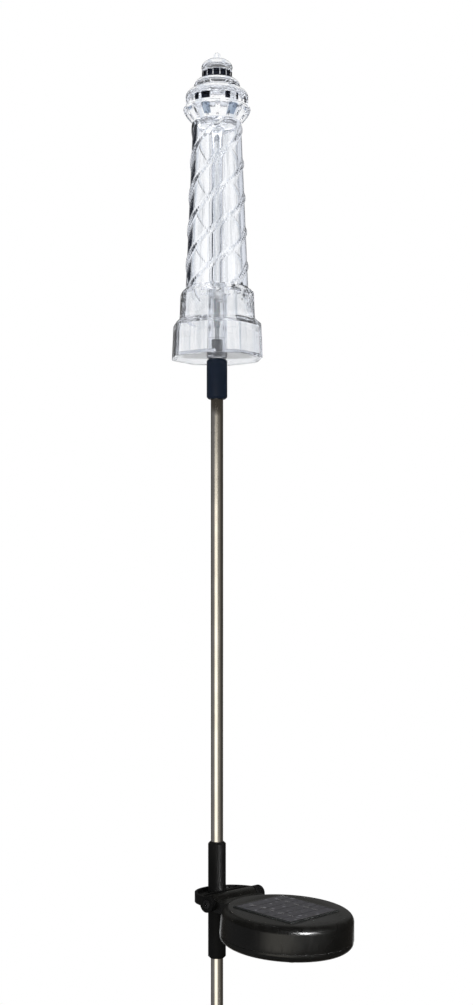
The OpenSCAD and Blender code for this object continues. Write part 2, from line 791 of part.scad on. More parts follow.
module tower_inside() {
    w = corner_wall;
    drop = tower_wall * 0.6;
    tier(base_r - w, tier_low_r - w, -eps, tier_low_h - drop);
    tier(tier_low_r - w, tier_up_r - w, tier_low_h - drop, tier_up_z - drop);
    tier(tier_up_r - w, tier_up_top_r - w, tier_up_z - drop, tier_up_top - drop);
    tier(tier_up_top_r - w, shaft_foot_r - tower_wall, tier_up_top - drop, shaft_z - drop);
    translate([0, 0, shaft_z - step_h - drop])
        cylinder(r1 = shaft_foot_r - tower_wall, r2 = shaft_top_r - tower_wall, h = shaft_h + step_h + drop + eps);
}

module tower_body() {
    color([0.86, 0.88, 0.92, 0.4]) at_tower() difference() {
        union() {
            tower_outside();
            for (i = [0:rib_count - 1]) rib(i * 360 / rib_count);
        }
        tower_inside();
    }
}

module base_plate() {
    r = base_r - corner_wall - draft * plate_t - plate_gap;
    color([0.86, 0.88, 0.92, 0.4]) at_tower() difference() {
        union() {
            tier(r, r, 0, plate_t);
            cylinder(r = socket_r, h = socket_h);
        }
        translate([0, 0, -eps]) cylinder(r = neck_d / 2 + neck_gap, h = neck_len + 1);
        translate([0, 0, neck_len]) cylinder(r = tube_r - 1, h = socket_h);
        translate([0, 0, tube_z]) cylinder(r = tube_r + tube_fit, h = socket_h);
    }
}

module light_tube() {
    color([0.9, 0.92, 0.95, 0.4]) at_tower() difference() {
        translate([0, 0, tube_z]) cylinder(r = tube_r, h = tube_top - tube_z);
        translate([0, 0, tube_z - eps]) cylinder(r = tube_bore_r, h = tube_top - tube_z - 2);
        translate([0, 0, tube_z - eps]) cylinder(r = led_r + led_flange + 0.2, h = led_body_h + led_r + 2.5);
    }
}

module gallery() {
    foot_r = shaft_top_r + 0.3;
    lean = atan2(lip_r - foot_r, flare_h);
    slope_w = rail_r - gallery_top_r;
    profile = concat(
        [[0, gallery_z - spigot_len], [spigot_r, gallery_z - spigot_len], [spigot_r, gallery_z],
         [foot_r, gallery_z]],
        [for (i = [1:6]) let (s = i / 6)
            [foot_r + (lip_r - foot_r) * (1 - pow(1 - s, 1.4)), gallery_z + flare_h * s]],
        [[lip_r, lip_z + 0.8], [rail_r, rail_z], [rail_r, rail_top]],
        [for (i = [1:8]) let (a = 90 * i / 8)
            [gallery_top_r + slope_w * cos(a), rail_top + roof_slope_h * sin(a)]],
        [[0, disc_z]]);
    cut_w = 2 * PI * rail_r / corbel_count - panel_bar;
    color([0.86, 0.88, 0.92, 0.4]) at_tower() difference() {
        rotate_extrude() polygon(profile);
        // Seat of the light tube, from below
        translate([0, 0, gallery_z - spigot_len - eps])
            cylinder(r = tube_r + tube_fit, h = tube_hold + side_gap + eps);
        // Grooves between the corbels, and the railing's sunk panels above them
        for (i = [0:corbel_count - 1]) rotate([0, 0, gallery_turn + i * 360 / corbel_count]) {
            translate([foot_r + 2.2, 0, gallery_z]) rotate([0, lean, 0])
                cylinder(r = groove_r, h = flare_h / cos(lean) - 1.6, $fn = 24);
            translate([rail_r - panel_cut, -cut_w / 2, rail_z + 0.8]) cube([4, cut_w, rail_h - 1.8]);
        }
    }
}

module lantern() {
    z0 = disc_z + bond;
    foot = 1.6;
    round_h = disc_h - foot;
    sill_h = 0.6;
    profile = concat(
        [[0, z0], [disc_foot_r, z0]],
        [for (i = [0:5]) let (a = -60 + 12 * i)
            [disc_r - (1 - cos(a)) * 1.6, z0 + foot + foot * sin(a)]],
        [for (i = [1:8]) let (a = 90 * i / 8)
            [lantern_r + 0.8 + (disc_r - lantern_r - 0.8) * cos(a), z0 + foot + round_h * sin(a)]],
        [[lantern_r + 0.8, lantern_z + sill_h * 0.6], [lantern_r, lantern_z + sill_h],
         [lantern_r, lantern_z + lantern_h], [0, lantern_z + lantern_h]]);
    cut_w = 2 * PI * lantern_r / pane_count - pane_bar;
    color([0.86, 0.88, 0.92, 0.4]) at_tower() difference() {
        rotate_extrude() polygon(profile);
        for (i = [0:pane_count - 1]) rotate([0, 0, i * 360 / pane_count])
            translate([lantern_r - pane_cut, -cut_w / 2, lantern_z + sill_h + 0.4])
                cube([4, cut_w, lantern_h - sill_h - 2.6]);
    }
}

module roof() {
    dome_end = 72;                          // angle where the dome meets the ball's foot
    rise = dome_h - 0.4;
    profile = concat(
        [[0, eaves_z], [eaves_r - 0.5, eaves_z], [eaves_r, eaves_z + 0.4]],
        [for (i = [1:12]) let (a = dome_end * i / 12)
            [eaves_r * cos(a), eaves_z + 0.4 + rise * sin(a) / sin(dome_end)]],
        arc(0, ball_z, ball_r, neck_a, pole_a, 18), [[0, ball_z + ball_r * sin(pole_a)]]);
    color([0.86, 0.88, 0.92, 0.4]) at_tower() rotate_extrude() polygon(profile);
}

// ---- Lamp and wires ----

module at_foot() {
    translate([0, 0, tower_z]) children();
}

module both_wires() {
    for (side = [-1, 1]) translate([0, side * wire_spread, 0]) children();
}

module led() {
    flange_r = led_r + led_flange;
    profile = concat([[0, 0], [flange_r, 0], [flange_r, 1], [led_r, 1]],
        arc(0, led_body_h, led_r, 0, pole_a, 12), [[0, led_body_h + led_r * sin(pole_a)]]);
    color([0.95, 0.95, 0.85]) at_foot() translate([0, 0, led_z])
        rotate_extrude($fn = 48) polygon(profile);
}

module led_leads() {
    z0 = shrink_z + wire_splice;
    color([0.75, 0.75, 0.75]) at_foot() both_wires()
        translate([0, 0, z0]) cylinder(r = leg_r, h = led_z - z0);
}

module heat_shrink() {
    color([0.08, 0.08, 0.09]) at_foot() difference() {
        both_wires() translate([0, 0, shrink_z]) cylinder(d = shrink_d, h = shrink_top - shrink_z);
        both_wires() {
            translate([0, 0, shrink_z - 1]) cylinder(r = wire_d / 2 + side_gap, h = wire_splice + 1);
            translate([0, 0, shrink_z]) cylinder(r = leg_r + side_gap, h = socket_h);
        }
    }
}

// Two insulated wires from the lamp down the pole, turning out through the sleeve
module lead_wires() {
    wire_r = wire_d / 2;
    bend_z = outlet_z + wire_bend_r;
    color([0.6, 0.1, 0.1]) both_wires() translate([0, 0, bend_z]) {
        cylinder(r = wire_r, h = tower_z + shrink_z + wire_splice - bend_z);
        translate([wire_bend_r, 0, 0]) rotate([90, 0, 0]) rotate([0, 0, 180])
            rotate_extrude(angle = 90) translate([wire_bend_r, 0]) circle(r = wire_r, $fn = 32);
        translate([wire_bend_r, 0, -wire_bend_r]) rotate([0, 90, 0])
            cylinder(r = wire_r, h = sleeve_d / 2 - wire_bend_r - 0.3);
    }
}

ground_stake();
lower_pole();
pole_bracket();
upper_pole();
collar();
tower_body();
base_plate();
light_tube();
gallery();
lantern();
roof();
led();
led_leads();
heat_shrink();
lead_wires();
hinge_bolt();
hinge_washers();
hinge_knob();
hinge_nut();
panel_shell();
panel_cover();
panel_seal();
cover_screws();
solar_cell();
cell_board();
battery();
battery_contacts();
battery_door();
door_screw();
circuit_board();
board_parts();
switch_body();
switch_slider();
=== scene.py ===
import json
from math import atan2, cos, degrees, exp, hypot, log, pi, radians, sin

import bpy
from mathutils import Matrix, Vector


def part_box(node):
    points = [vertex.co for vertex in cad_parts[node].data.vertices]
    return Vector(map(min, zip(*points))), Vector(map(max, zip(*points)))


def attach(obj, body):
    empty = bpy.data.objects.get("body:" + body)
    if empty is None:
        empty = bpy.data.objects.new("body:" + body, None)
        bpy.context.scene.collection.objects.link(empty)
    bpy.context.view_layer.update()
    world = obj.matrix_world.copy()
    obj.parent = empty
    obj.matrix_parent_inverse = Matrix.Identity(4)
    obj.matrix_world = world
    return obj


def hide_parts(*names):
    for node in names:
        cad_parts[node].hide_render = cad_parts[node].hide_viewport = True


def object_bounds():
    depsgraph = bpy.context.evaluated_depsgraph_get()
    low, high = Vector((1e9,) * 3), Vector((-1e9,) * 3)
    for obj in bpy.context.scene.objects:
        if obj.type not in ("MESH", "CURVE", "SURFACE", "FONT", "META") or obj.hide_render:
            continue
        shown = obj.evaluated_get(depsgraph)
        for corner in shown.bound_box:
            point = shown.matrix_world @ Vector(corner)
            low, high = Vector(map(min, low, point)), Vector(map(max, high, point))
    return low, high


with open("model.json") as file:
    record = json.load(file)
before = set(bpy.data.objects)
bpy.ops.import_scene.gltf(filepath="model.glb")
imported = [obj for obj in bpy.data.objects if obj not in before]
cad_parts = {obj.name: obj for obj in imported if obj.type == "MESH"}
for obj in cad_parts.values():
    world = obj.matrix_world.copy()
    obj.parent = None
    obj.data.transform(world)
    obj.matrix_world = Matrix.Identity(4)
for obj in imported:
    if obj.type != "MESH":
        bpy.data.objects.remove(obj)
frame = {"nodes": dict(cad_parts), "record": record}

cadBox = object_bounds()
nodes = frame["nodes"]
mm = 0.001
turn = 2 * pi

shot = {
    "position": (0.6537, -0.7072, 0.3843),  # 963 mm from the pole, below the tower and above the panel
    "heading": 42.0,  # degrees round from looking along +Y
    "focal": 53.48,  # on a 36 mm long side
    "rise": 0.0851,  # the horizon lies below the middle of the picture
}

stageSizes = {
    "floorWidth": 6.0,
    "floorDrop": 0.0005,  # below the stake's tip
    "floorColour": (0.86, 0.86, 0.85),
    "shadowReach": (0.25, 0.7),  # the floor turns plain white between these distances from the pole
    "nearGlow": 0.72,  # share of plain white close to the pole
    "ambient": 0.7,  # soft light from all round
}

polishedRoom = {
    "dark": (0.06, 0.053, 0.046),  # what polished surfaces see away from the patches
    # patch: colour, degrees round from +X, half-width (full, none), foot and top above the horizon
    "patches": {
        "cool": ((0.22, 0.22, 0.23), -112, (15, 85), None, (8, 13)),
        "warm": ((0.25, 0.24, 0.22), -22, (10, 62), (-60, -50), (7, 9)),  # right of the window
        "window": ((2.0, 1.92, 1.72), -63, (10, 42), (-40, -22), (4.2, 5.3)),  # the pole's bright line
        "under": ((0.86, 0.87, 0.88), 132, (18, 26), (-30, -20), (-4, -2)),  # pale ground, seen from below
        "ahead": ((0.22, 0.22, 0.22), 122, (10, 16), (7, 11), (17, 22)),  # seen by the panel's top
        "upper": ((0.2, 0.2, 0.19), 138, (30, 60), (18, 28), (50, 70)),  # soft light above the panel
    },
}

clearRoom = {
    "pale": (1.08, 1.08, 1.08),
    "grey": (0.8, 0.84, 0.9),  # between the white stretches
    "paleHalf": (13.0, 19.0),  # degrees from the middle of a white stretch to its edge
    "far": (35.0, 60.0),  # white again this far above and below the horizon
    "deep": (0.014, 0.018, 0.03),  # what light turned back inside a wall sees
    "bright": (0.85, 0.88, 0.95),  # what it sees in the bright parts
    "glints": (104.0, 284.0),  # degrees round from +X
    "glintHalf": (20.0, 30.0),
    "glintFoot": (-7.0, 0.0),
    "highEnd": (24.0, 36.0),  # bright all round above this height above the horizon
    "lowEnd": (8.6, 9.8),  # and below this one, so that the tiers stay pale
}

fillLamps = {
    "aim": (0.02, 0, 0.42),
    # name, place, size, power, colour
    "lamps": [
        ("leftFill", (-1.2, -0.9, 0.8), (0.9, 1.2), 5.0, (0.97, 0.98, 1.0)),
        ("rightFill", (1.2, 0.2, 0.7), (0.7, 1.2), 3.0, (1.0, 0.99, 0.97)),
        ("topSoft", (0.1, 0.1, 1.7), (1.2, 1.2), 8.0, (1.0, 1.0, 1.0)),
    ],
}

panelGlow = {
    "aim": (0.06, 0.0, 0.19),
    "turn": -16.0,  # degrees round from +X
    "rise": 23.0,
    "distance": 1.3,
    "size": (0.8, 0.3),
    "power": 2.6,
    "spread": 15.0,  # narrow, so that the clear tower doesn't mirror it
}


def deselectAll():
    for o in list(bpy.context.selected_objects):
        o.select_set(False)


def makeActive(o):
    deselectAll()
    o.select_set(True)
    bpy.context.view_layer.objects.active = o


def newest(name):
    o = bpy.context.object
    o.name = name
    return o


def buildCamera():
    deselectAll()
    bpy.ops.object.camera_add(location=shot["position"], rotation=(pi / 2, 0, radians(shot["heading"])))
    camera = newest("photoCamera")
    camera.data.sensor_width = 36
    camera.data.lens = shot["focal"]
    camera.data.shift_y = shot["rise"]
    camera.data.clip_start = 0.01
    camera.data.clip_end = 30
    bpy.context.scene.camera = camera


def addLamp(name, place, aim, size, power, colour=(1, 1, 1)):
    deselectAll()
    bpy.ops.object.light_add(type="AREA", location=place)
    light = newest(name)
    light.rotation_euler = (Vector(aim) - Vector(place)).to_track_quat("-Z", "Y").to_euler()
    light.data.shape = "RECTANGLE"
    light.data.size, light.data.size_y = size
    light.data.energy = power
    light.data.color = colour
    return light


def buildLamps():
    for name, place, size, power, colour in fillLamps["lamps"]:
        fill = addLamp(name, place, fillLamps["aim"], size, power, colour)
        fill.visible_glossy = False  # the room gives the reflections
    p = panelGlow
    way, rise = radians(p["turn"]), radians(p["rise"])
    away = Vector((cos(rise) * cos(way), cos(rise) * sin(way), sin(rise))) * p["distance"]
    glow = addLamp("panelGlow", Vector(p["aim"]) + away, p["aim"], p["size"], p["power"])
    glow.data.spread = radians(p["spread"])
    glow.visible_diffuse = False  # it only gives the panel's highlights
    glow.visible_transmission = False


class Graph:  # short names for wiring shader nodes
    def __init__(self, tree):
        self.tree = tree
        self.column = 0

    def add(self, kind, **settings):
        node = self.tree.nodes.new(kind)
        node.location = (self.column * 180, 0)
        self.column += 1
        for key, value in settings.items():
            setattr(node, key, value)
        return node

    def wire(self, source, target):
        self.tree.links.new(source, target)

    def feed(self, value, socket):
        if isinstance(value, bpy.types.NodeSocket):
            self.wire(value, socket)
        else:
            socket.default_value = value

    def feedAll(self, node, values):
        for label, value in values.items():
            self.feed(value, node.inputs[label])
        return node.outputs

    def calc(self, operation, *values):
        return self.feedAll(self.add("ShaderNodeMath", operation=operation), dict(enumerate(values)))[0]

    def times(self, first, second):
        return self.calc("MULTIPLY", first, second)

    def blend(self, share, first, second):
        node = self.add("ShaderNodeMix", data_type="RGBA")
        return self.feedAll(node, {0: share, 6: first, 7: second})[2]

    def spread(self, value, low, high, outLow=0.0, outHigh=1.0):
        node = self.add("ShaderNodeMapRange", interpolation_type="SMOOTHSTEP")
        return self.feedAll(node, dict(enumerate((value, low, high, outLow, outHigh))))[0]

    def own(self):
        return self.add("ShaderNodeTexCoord").outputs["Object"]

    def split(self, vector):
        return self.feedAll(self.add("ShaderNodeSeparateXYZ"), {0: vector})

    def stretched(self, vector, scale):
        return self.feedAll(self.add("ShaderNodeMapping"), {"Vector": vector, "Scale": scale})[0]

    def noise(self, vector, scale, detail=2.0, rough=0.5):
        node = self.add("ShaderNodeTexNoise")
        return self.feedAll(node, {"Vector": vector, "Scale": scale, "Detail": detail, "Roughness": rough})[0]

    def cells(self, vector, scale):
        return self.feedAll(self.add("ShaderNodeTexVoronoi"), {"Vector": vector, "Scale": scale})

    def mixShaders(self, share, first, second):
        return self.feedAll(self.add("ShaderNodeMixShader"), {0: share, 1: first, 2: second})[0]


def buildWorld():
    world = bpy.data.worlds.new("softRoom")
    bpy.context.scene.world = world
    world.use_nodes = True
    world.node_tree.nodes.clear()
    g = Graph(world.node_tree)
    x, y, z = g.split(g.add("ShaderNodeTexCoord").outputs["Generated"])
    around = g.calc("ARCTAN2", y, x)

    def lobe(centre, half):
        # 1 within the first half-width of an azimuth and 0 beyond the second, in degrees
        off = g.calc("ABSOLUTE", g.calc("WRAP", g.calc("SUBTRACT", around, radians(centre)), pi, -pi))
        return g.spread(off, radians(half[0]), radians(half[1]), 1, 0)

    def rise(low, high, outLow=0.0, outHigh=1.0):
        return g.spread(z, sin(radians(low)), sin(radians(high)), outLow, outHigh)

    # seen straight through clear walls: white ahead and at every eighth of a turn
    c = {key: (*value, 1) if len(value) == 3 else value for key, value in clearRoom.items()}
    ahead = radians(90 + shot["heading"])
    step = g.calc("PINGPONG", g.calc("ADD", around, turn - ahead), turn / 16)
    through = g.blend(g.spread(step, *(radians(a) for a in c["paleHalf"]), 1, 0), c["grey"], c["pale"])
    low, high = c["far"]
    through = g.blend(g.calc("ADD", rise(low, high), rise(-high, -low, 1, 0)), through, c["pale"])
    # turned back inside a wall: dark, with two bright stretches
    glint = g.calc("MAXIMUM", *(lobe(a, c["glintHalf"]) for a in c["glints"]))
    inside = g.blend(g.times(glint, rise(*c["glintFoot"])), c["deep"], c["bright"])
    inside = g.blend(g.calc("ADD", rise(*c["highEnd"]), rise(*c["lowEnd"], 1, 0)), inside, c["bright"])
    # seen by polished and satin surfaces
    room = (*polishedRoom["dark"], 1)
    for colour, centre, half, foot, top in polishedRoom["patches"].values():
        band = rise(*top, 1, 0)
        if foot:
            band = g.times(rise(*foot), band)
        room = g.blend(g.times(lobe(centre, half), band), room, (*colour, 1))
    rays = g.add("ShaderNodeLightPath").outputs
    clear = g.blend(g.calc("GREATER_THAN", rays["Glossy Depth"], 0.5), through, inside)
    colour = g.blend(rays["Is Glossy Ray"], (stageSizes["ambient"],) * 3 + (1,), room)
    colour = g.blend(rays["Is Transmission Ray"], colour, clear)
    colour = g.blend(rays["Is Camera Ray"], colour, (1, 1, 1, 1))
    sky = g.feedAll(g.add("ShaderNodeBackground"), {0: colour})
    g.wire(sky[0], g.add("ShaderNodeOutputWorld").inputs[0])


def buildFloor():
    s = stageSizes
    deselectAll()
    low = cadBox[0].z - s["floorDrop"]
    bpy.ops.mesh.primitive_plane_add(size=s["floorWidth"], location=(0, 0, low))
    floor = newest("floor")
    paint = bpy.data.materials.new("floorPaint")
    paint.use_nodes = True
    paint.node_tree.nodes.clear()
    g = Graph(paint.node_tree)
    matt = g.feedAll(g.add("ShaderNodeBsdfDiffuse"), {0: (*s["floorColour"], 1)})[0]
    reach = g.feedAll(g.add("ShaderNodeVectorMath", operation="LENGTH"), {0: g.own()})["Value"]
    white = g.spread(reach, *s["shadowReach"], s["nearGlow"], 1)
    rays = g.add("ShaderNodeLightPath").outputs
    seen = g.mixShaders(g.times(rays["Is Camera Ray"], white), matt, g.add("ShaderNodeEmission").outputs[0])
    # reflections and clear pieces see the room below instead of the floor, which is open from underneath
    bent = g.calc("MAXIMUM", rays["Is Glossy Ray"], rays["Is Transmission Ray"])
    bent = g.calc("MAXIMUM", bent, g.add("ShaderNodeNewGeometry").outputs["Backfacing"])
    skip = g.mixShaders(bent, seen, g.add("ShaderNodeBsdfTransparent").outputs[0])
    g.wire(skip, g.add("ShaderNodeOutputMaterial").inputs[0])
    floor.data.materials.append(paint)


scene = bpy.context.scene
scene.view_settings.view_transform = "Standard"
scene.cycles.max_bounces = 28
scene.cycles.transmission_bounces = 28
scene.cycles.glossy_bounces = 12
buildCamera()
buildWorld()
buildLamps()
buildFloor()
print("camera, floor and lights are in place")


def newGroup(name, inputs, outputs):
    group = bpy.data.node_groups.new(name, "ShaderNodeTree")
    for label, value in inputs.items():
        kind = "NodeSocketColor" if isinstance(value, tuple) else "NodeSocketFloat"
        group.interface.new_socket(label, in_out="INPUT", socket_type=kind).default_value = value
    for label in outputs:
        kind = "NodeSocketColor" if label == "Color" else "NodeSocketFloat"
        group.interface.new_socket(label, in_out="OUTPUT", socket_type=kind)
    g = Graph(group)
    return group, g, g.add("NodeGroupInput").outputs, g.add("NodeGroupOutput").inputs


def buildGrain():  # fine moulded grain with slow waves
    group, g, source, sink = newGroup(
        "mouldGrain", {"Grain size": 900.0, "Wave size": 60.0, "Wave share": 0.5}, ("Height", "Tone"))
    where = g.own()
    grain = g.noise(where, source["Grain size"], 4)
    wave = g.noise(where, source["Wave size"], 3)
    mix = g.feedAll(g.add("ShaderNodeMix", data_type="FLOAT"), {0: source["Wave share"], 2: grain, 3: wave})
    g.wire(mix[0], sink["Height"])
    g.wire(wave, sink["Tone"])
    return group


def buildDust():  # pale dust on faces that look up, in patches
    group, g, source, sink = newGroup(
        "settledDust", {"Paint": (0.1, 0.1, 0.1, 1), "Dust": (0.5, 0.48, 0.44, 1), "Amount": 0.2,
                        "Patch size": 90.0}, ("Color", "Mask"))
    patch = g.noise(g.own(), source["Patch size"], 6, 0.7)
    up = g.spread(g.split(g.add("ShaderNodeNewGeometry").outputs["Normal"])[2], 0.2, 0.95)
    mask = g.times(g.times(up, g.spread(patch, 0.42, 0.68)), source["Amount"])
    g.wire(g.blend(mask, source["Paint"], source["Dust"]), sink["Color"])
    g.wire(mask, sink["Mask"])
    return group


flow = {
    "upright": 0.045,  # share of the pattern's pace along the height
    "edge": (0.55, 0.6),  # of a line, in noise
    "gapScale": 55.0,
    "gapEdge": (0.3, 0.5),
    "gapShare": 0.25,  # of a line's strength left in a gap
}


def buildFlow():  # upright flow lines in clear mouldings, broken along their length
    group, g, source, sink = newGroup("flowLines", {"Line size": 260.0}, ("Mask",))
    where = g.own()
    lines = g.noise(g.stretched(where, (1.0, 1.0, flow["upright"])), source["Line size"])
    broken = g.spread(g.noise(where, flow["gapScale"]), *flow["gapEdge"], flow["gapShare"], 1)
    g.wire(g.times(g.spread(lines, *flow["edge"]), broken), sink["Mask"])
    return group


grainGroup = buildGrain()
flowGroup = buildFlow()
dustGroup = buildDust()


def useGroup(g, group, **values):
    node = g.add("ShaderNodeGroup")
    node.node_tree = group
    return g.feedAll(node, {label.replace("_", " "): value for label, value in values.items()})


def newMaterial(name, **plain):  # a Principled material with its plain values on the shader itself
    material = bpy.data.materials.new(name)
    material.use_nodes = True
    material.node_tree.nodes.clear()
    g = Graph(material.node_tree)
    shader = g.add("ShaderNodeBsdfPrincipled")
    for label, value in plain.items():
        shader.inputs[label.replace("_", " ")].default_value = value
    g.wire(shader.outputs[0], g.add("ShaderNodeOutputMaterial").inputs[0])
    return material, g, shader.inputs


def addBump(g, shader, height, strength, depth):
    bump = g.add("ShaderNodeBump")
    bump.inputs["Strength"].default_value = strength
    bump.inputs["Distance"].default_value = depth * mm
    g.wire(height, bump.inputs["Height"])
    g.wire(bump.outputs[0], shader["Normal"])


def mouldedPlastic(name, paint, rough, grain=1400.0, depth=0.02, dust=0.0, tint=0.25, **plain):
    material, g, shader = newMaterial(name, **plain)
    surface = useGroup(g, grainGroup, Grain_size=grain, Wave_size=55.0, Wave_share=0.35)
    lighter = tuple(min(1, c * (1 + tint) + 0.0008) for c in paint)
    colour = g.blend(g.spread(surface["Tone"], 0.35, 0.65), (*paint, 1), (*lighter, 1))
    dusty = useGroup(g, dustGroup, Paint=colour, Dust=(0.36, 0.34, 0.31, 1), Amount=dust, Patch_size=110.0)
    g.wire(dusty["Color"], shader["Base Color"])
    dull = g.times(dusty["Mask"], 0.5)
    g.wire(g.calc("ADD", g.spread(surface["Tone"], 0.3, 0.7, *rough), dull), shader["Roughness"])
    addBump(g, shader, surface["Height"], 0.6, depth)
    return material


def clearPlastic(name, tint, wave, rough=(0.004, 0.03), waveSize=45.0, ior=1.49, haze=0.0, streak=0.0):
    material, g, shader = newMaterial(name, Transmission_Weight=1.0 - haze, IOR=ior)
    surface = useGroup(g, grainGroup, Grain_size=700.0, Wave_size=waveSize, Wave_share=0.97)
    deeper = tuple(c * 0.985 for c in tint)
    colour = g.blend(g.spread(surface["Tone"], 0.35, 0.65), (*tint, 1), (*deeper, 1))
    if streak:
        grey = tuple(c * (1 - streak) for c in (tint[0] * 0.96, tint[1] * 0.98, tint[2]))
        colour = g.blend(useGroup(g, flowGroup, Line_size=260.0)["Mask"], colour, (*grey, 1))
    g.wire(colour, shader["Base Color"])
    g.wire(g.spread(surface["Tone"], 0.35, 0.7, *rough), shader["Roughness"])
    addBump(g, shader, surface["Height"], 0.5, wave)
    return material


def brushedSteel(name, tint, rough=(0.16, 0.3), along=(1.0, 1.0, 1.0), fine=900.0):
    material, g, shader = newMaterial(name, Metallic=1.0)
    where = g.own()
    lines = g.noise(g.stretched(where, along), fine, 3)  # hair lines along the piece where it is drawn
    cloud = g.noise(where, 40, 5)
    darker = tuple(c * 0.86 for c in tint)
    g.wire(g.blend(g.spread(cloud, 0.35, 0.68), (*tint, 1), (*darker, 1)), shader["Base Color"])
    tone = g.calc("ADD", g.times(lines, 0.6), g.times(cloud, 0.4))
    g.wire(g.spread(tone, 0.35, 0.65, *rough), shader["Roughness"])
    addBump(g, shader, lines, 0.25, 0.01)
    return material


def cellSilicon(name, grainScale, darkGrain, paleGrain, sparkle, finger, fingerGap, **plain):
    material, g, shader = newMaterial(name, **plain)
    where = g.own()
    grains = g.split(g.cells(where, grainScale)["Color"])
    tone = g.blend(grains[0], (*darkGrain, 1), (*paleGrain, 1))
    tone = g.blend(g.spread(grains[1], 0.93, 1.0, 0, 0.55), tone, (*sparkle, 1))
    line = g.calc("PINGPONG", g.split(where)[1], fingerGap * mm / 2)  # fine pale lines across the cell
    tone = g.blend(g.spread(line, 0.05 * mm, 0.11 * mm, 0.5, 0), tone, (*finger, 1))
    g.wire(tone, shader["Base Color"])
    surface = useGroup(g, grainGroup, Grain_size=2600.0, Wave_size=300.0, Wave_share=0.5)
    addBump(g, shader, surface["Height"], 0.3, 0.02)
    return material


def boardMask(name, mask, gap, trackScale, pad, padScale, **plain):  # solder mask over copper tracks
    material, g, shader = newMaterial(name, **plain)
    where = g.own()
    tracks = g.feedAll(g.add("ShaderNodeTexBrick", offset=0.5, squash=1.0), {
        "Vector": where, "Color1": (*mask[0], 1), "Color2": (*mask[1], 1), "Mortar": (*gap, 1),
        "Scale": trackScale, "Mortar Size": 0.06, "Brick Width": 1.6, "Row Height": 0.5})
    dots = g.spread(g.cells(where, padScale)["Distance"], 0.16, 0.2, 1, 0)
    g.wire(g.blend(dots, tracks["Color"], (*pad, 1)), shader["Base Color"])
    addBump(g, shader, g.calc("ADD", tracks["Fac"], dots), 0.4, 0.03)
    return material


def windingWire(name, tint, paler, scale, **plain):
    material, g, shader = newMaterial(name, **plain)
    share = g.spread(g.noise(g.own(), scale), 0.35, 0.65)
    g.wire(g.blend(share, (*tint, 1), (*paler, 1)), shader["Base Color"])
    return material


clearLooks = {  # bump depths in mm
    "clearBody": dict(tint=(0.975, 0.982, 0.995), wave=0.02, streak=0.24),
    "clearHazy": dict(tint=(0.985, 0.99, 1.0), rough=(0.01, 0.04), wave=0.01, haze=0.045, streak=0.13),
    "clearThick": dict(tint=(0.985, 0.99, 1.0), rough=(0.015, 0.04), wave=0.004, haze=0.05),
    "clearDome": dict(tint=(0.985, 0.99, 1.0), rough=(0.015, 0.04), wave=0.004, haze=0.06),
    "clearTube": dict(tint=(0.99, 0.99, 0.985), rough=(0.004, 0.02), wave=0.004, waveSize=120.0, streak=0.12),
    # painted shade: near-black glass for faces where the clear tower only looks dark from what it refracts
    "smokyPane": dict(tint=(0.0002, 0.0003, 0.0007), rough=(0.01, 0.05), wave=0.004),
    # painted shade: dark blue glass for grooves where the clear tower only looks blue-dark from what it
    # refracts
    "blueGroove": dict(tint=(0.16, 0.22, 0.32), rough=(0.01, 0.05), wave=0.004, haze=0.05, streak=0.6),
    "frostedTop": dict(tint=(0.99, 0.99, 1.0), rough=(0.04, 0.12), wave=0.01, haze=0.16),
    "frostedBore": dict(tint=(0.99, 0.995, 1.0), rough=(0.05, 0.16), wave=0.02, waveSize=400.0, streak=0.16),
    "frostedPlate": dict(tint=(0.98, 0.985, 1.0), rough=(0.02, 0.09), wave=0.02, waveSize=160.0, haze=0.12),
    "epoxyLens": dict(tint=(0.99, 0.99, 0.98), rough=(0.01, 0.03), wave=0.003, ior=1.53),
}

plasticLooks = {
    "blackBracket": dict(paint=(0.0052,) * 3, rough=(0.4, 0.52), dust=0.012, Specular_IOR_Level=0.05),
    "blackPanel": dict(paint=(0.0042, 0.0042, 0.0038), rough=(0.22, 0.3), grain=1700.0, dust=0.012,
                       Specular_IOR_Level=0.28),
    "blackStake": dict(paint=(0.0065, 0.0065, 0.0062), rough=(0.4, 0.6), dust=0.2, Specular_IOR_Level=0.4),
    "navyCollar": dict(paint=(0.0085, 0.0148, 0.029), rough=(0.34, 0.46), dust=0.008,
                       Specular_IOR_Level=0.12),
    "washerNylon": dict(paint=(0.012,) * 3, rough=(0.4, 0.55), dust=0.02),
    "sealFoam": dict(paint=(0.01,) * 3, rough=(0.7, 0.9), grain=2600.0, depth=0.06),
    "sleeveMilky": dict(paint=(0.62, 0.64, 0.66), rough=(0.35, 0.5), tint=0.08, Subsurface_Weight=0.4,
                        Subsurface_Scale=0.001),
    "wirePale": dict(paint=(0.55, 0.57, 0.58), rough=(0.3, 0.42), tint=0.1),
    "laminate": dict(paint=(0.016, 0.02, 0.02), rough=(0.4, 0.6), grain=3000.0),
    "resinEdge": dict(paint=(0.012, 0.012, 0.014), rough=(0.1, 0.2), Coat_Weight=0.5),
    "wrapGreen": dict(paint=(0.03, 0.13, 0.05), rough=(0.18, 0.3), tint=0.12),
    "chipBlack": dict(paint=(0.012, 0.012, 0.013), rough=(0.45, 0.6), grain=4000.0),
    "sleeveBlack": dict(paint=(0.014, 0.014, 0.02), rough=(0.2, 0.3)),
    "ceramicTan": dict(paint=(0.3, 0.2, 0.12), rough=(0.3, 0.45), grain=5000.0),
    "sliderPale": dict(paint=(0.55, 0.55, 0.53), rough=(0.35, 0.5), dust=0.05, tint=0.06),
    "phosphor": dict(paint=(0.75, 0.6, 0.1), rough=(0.5, 0.6)),
}

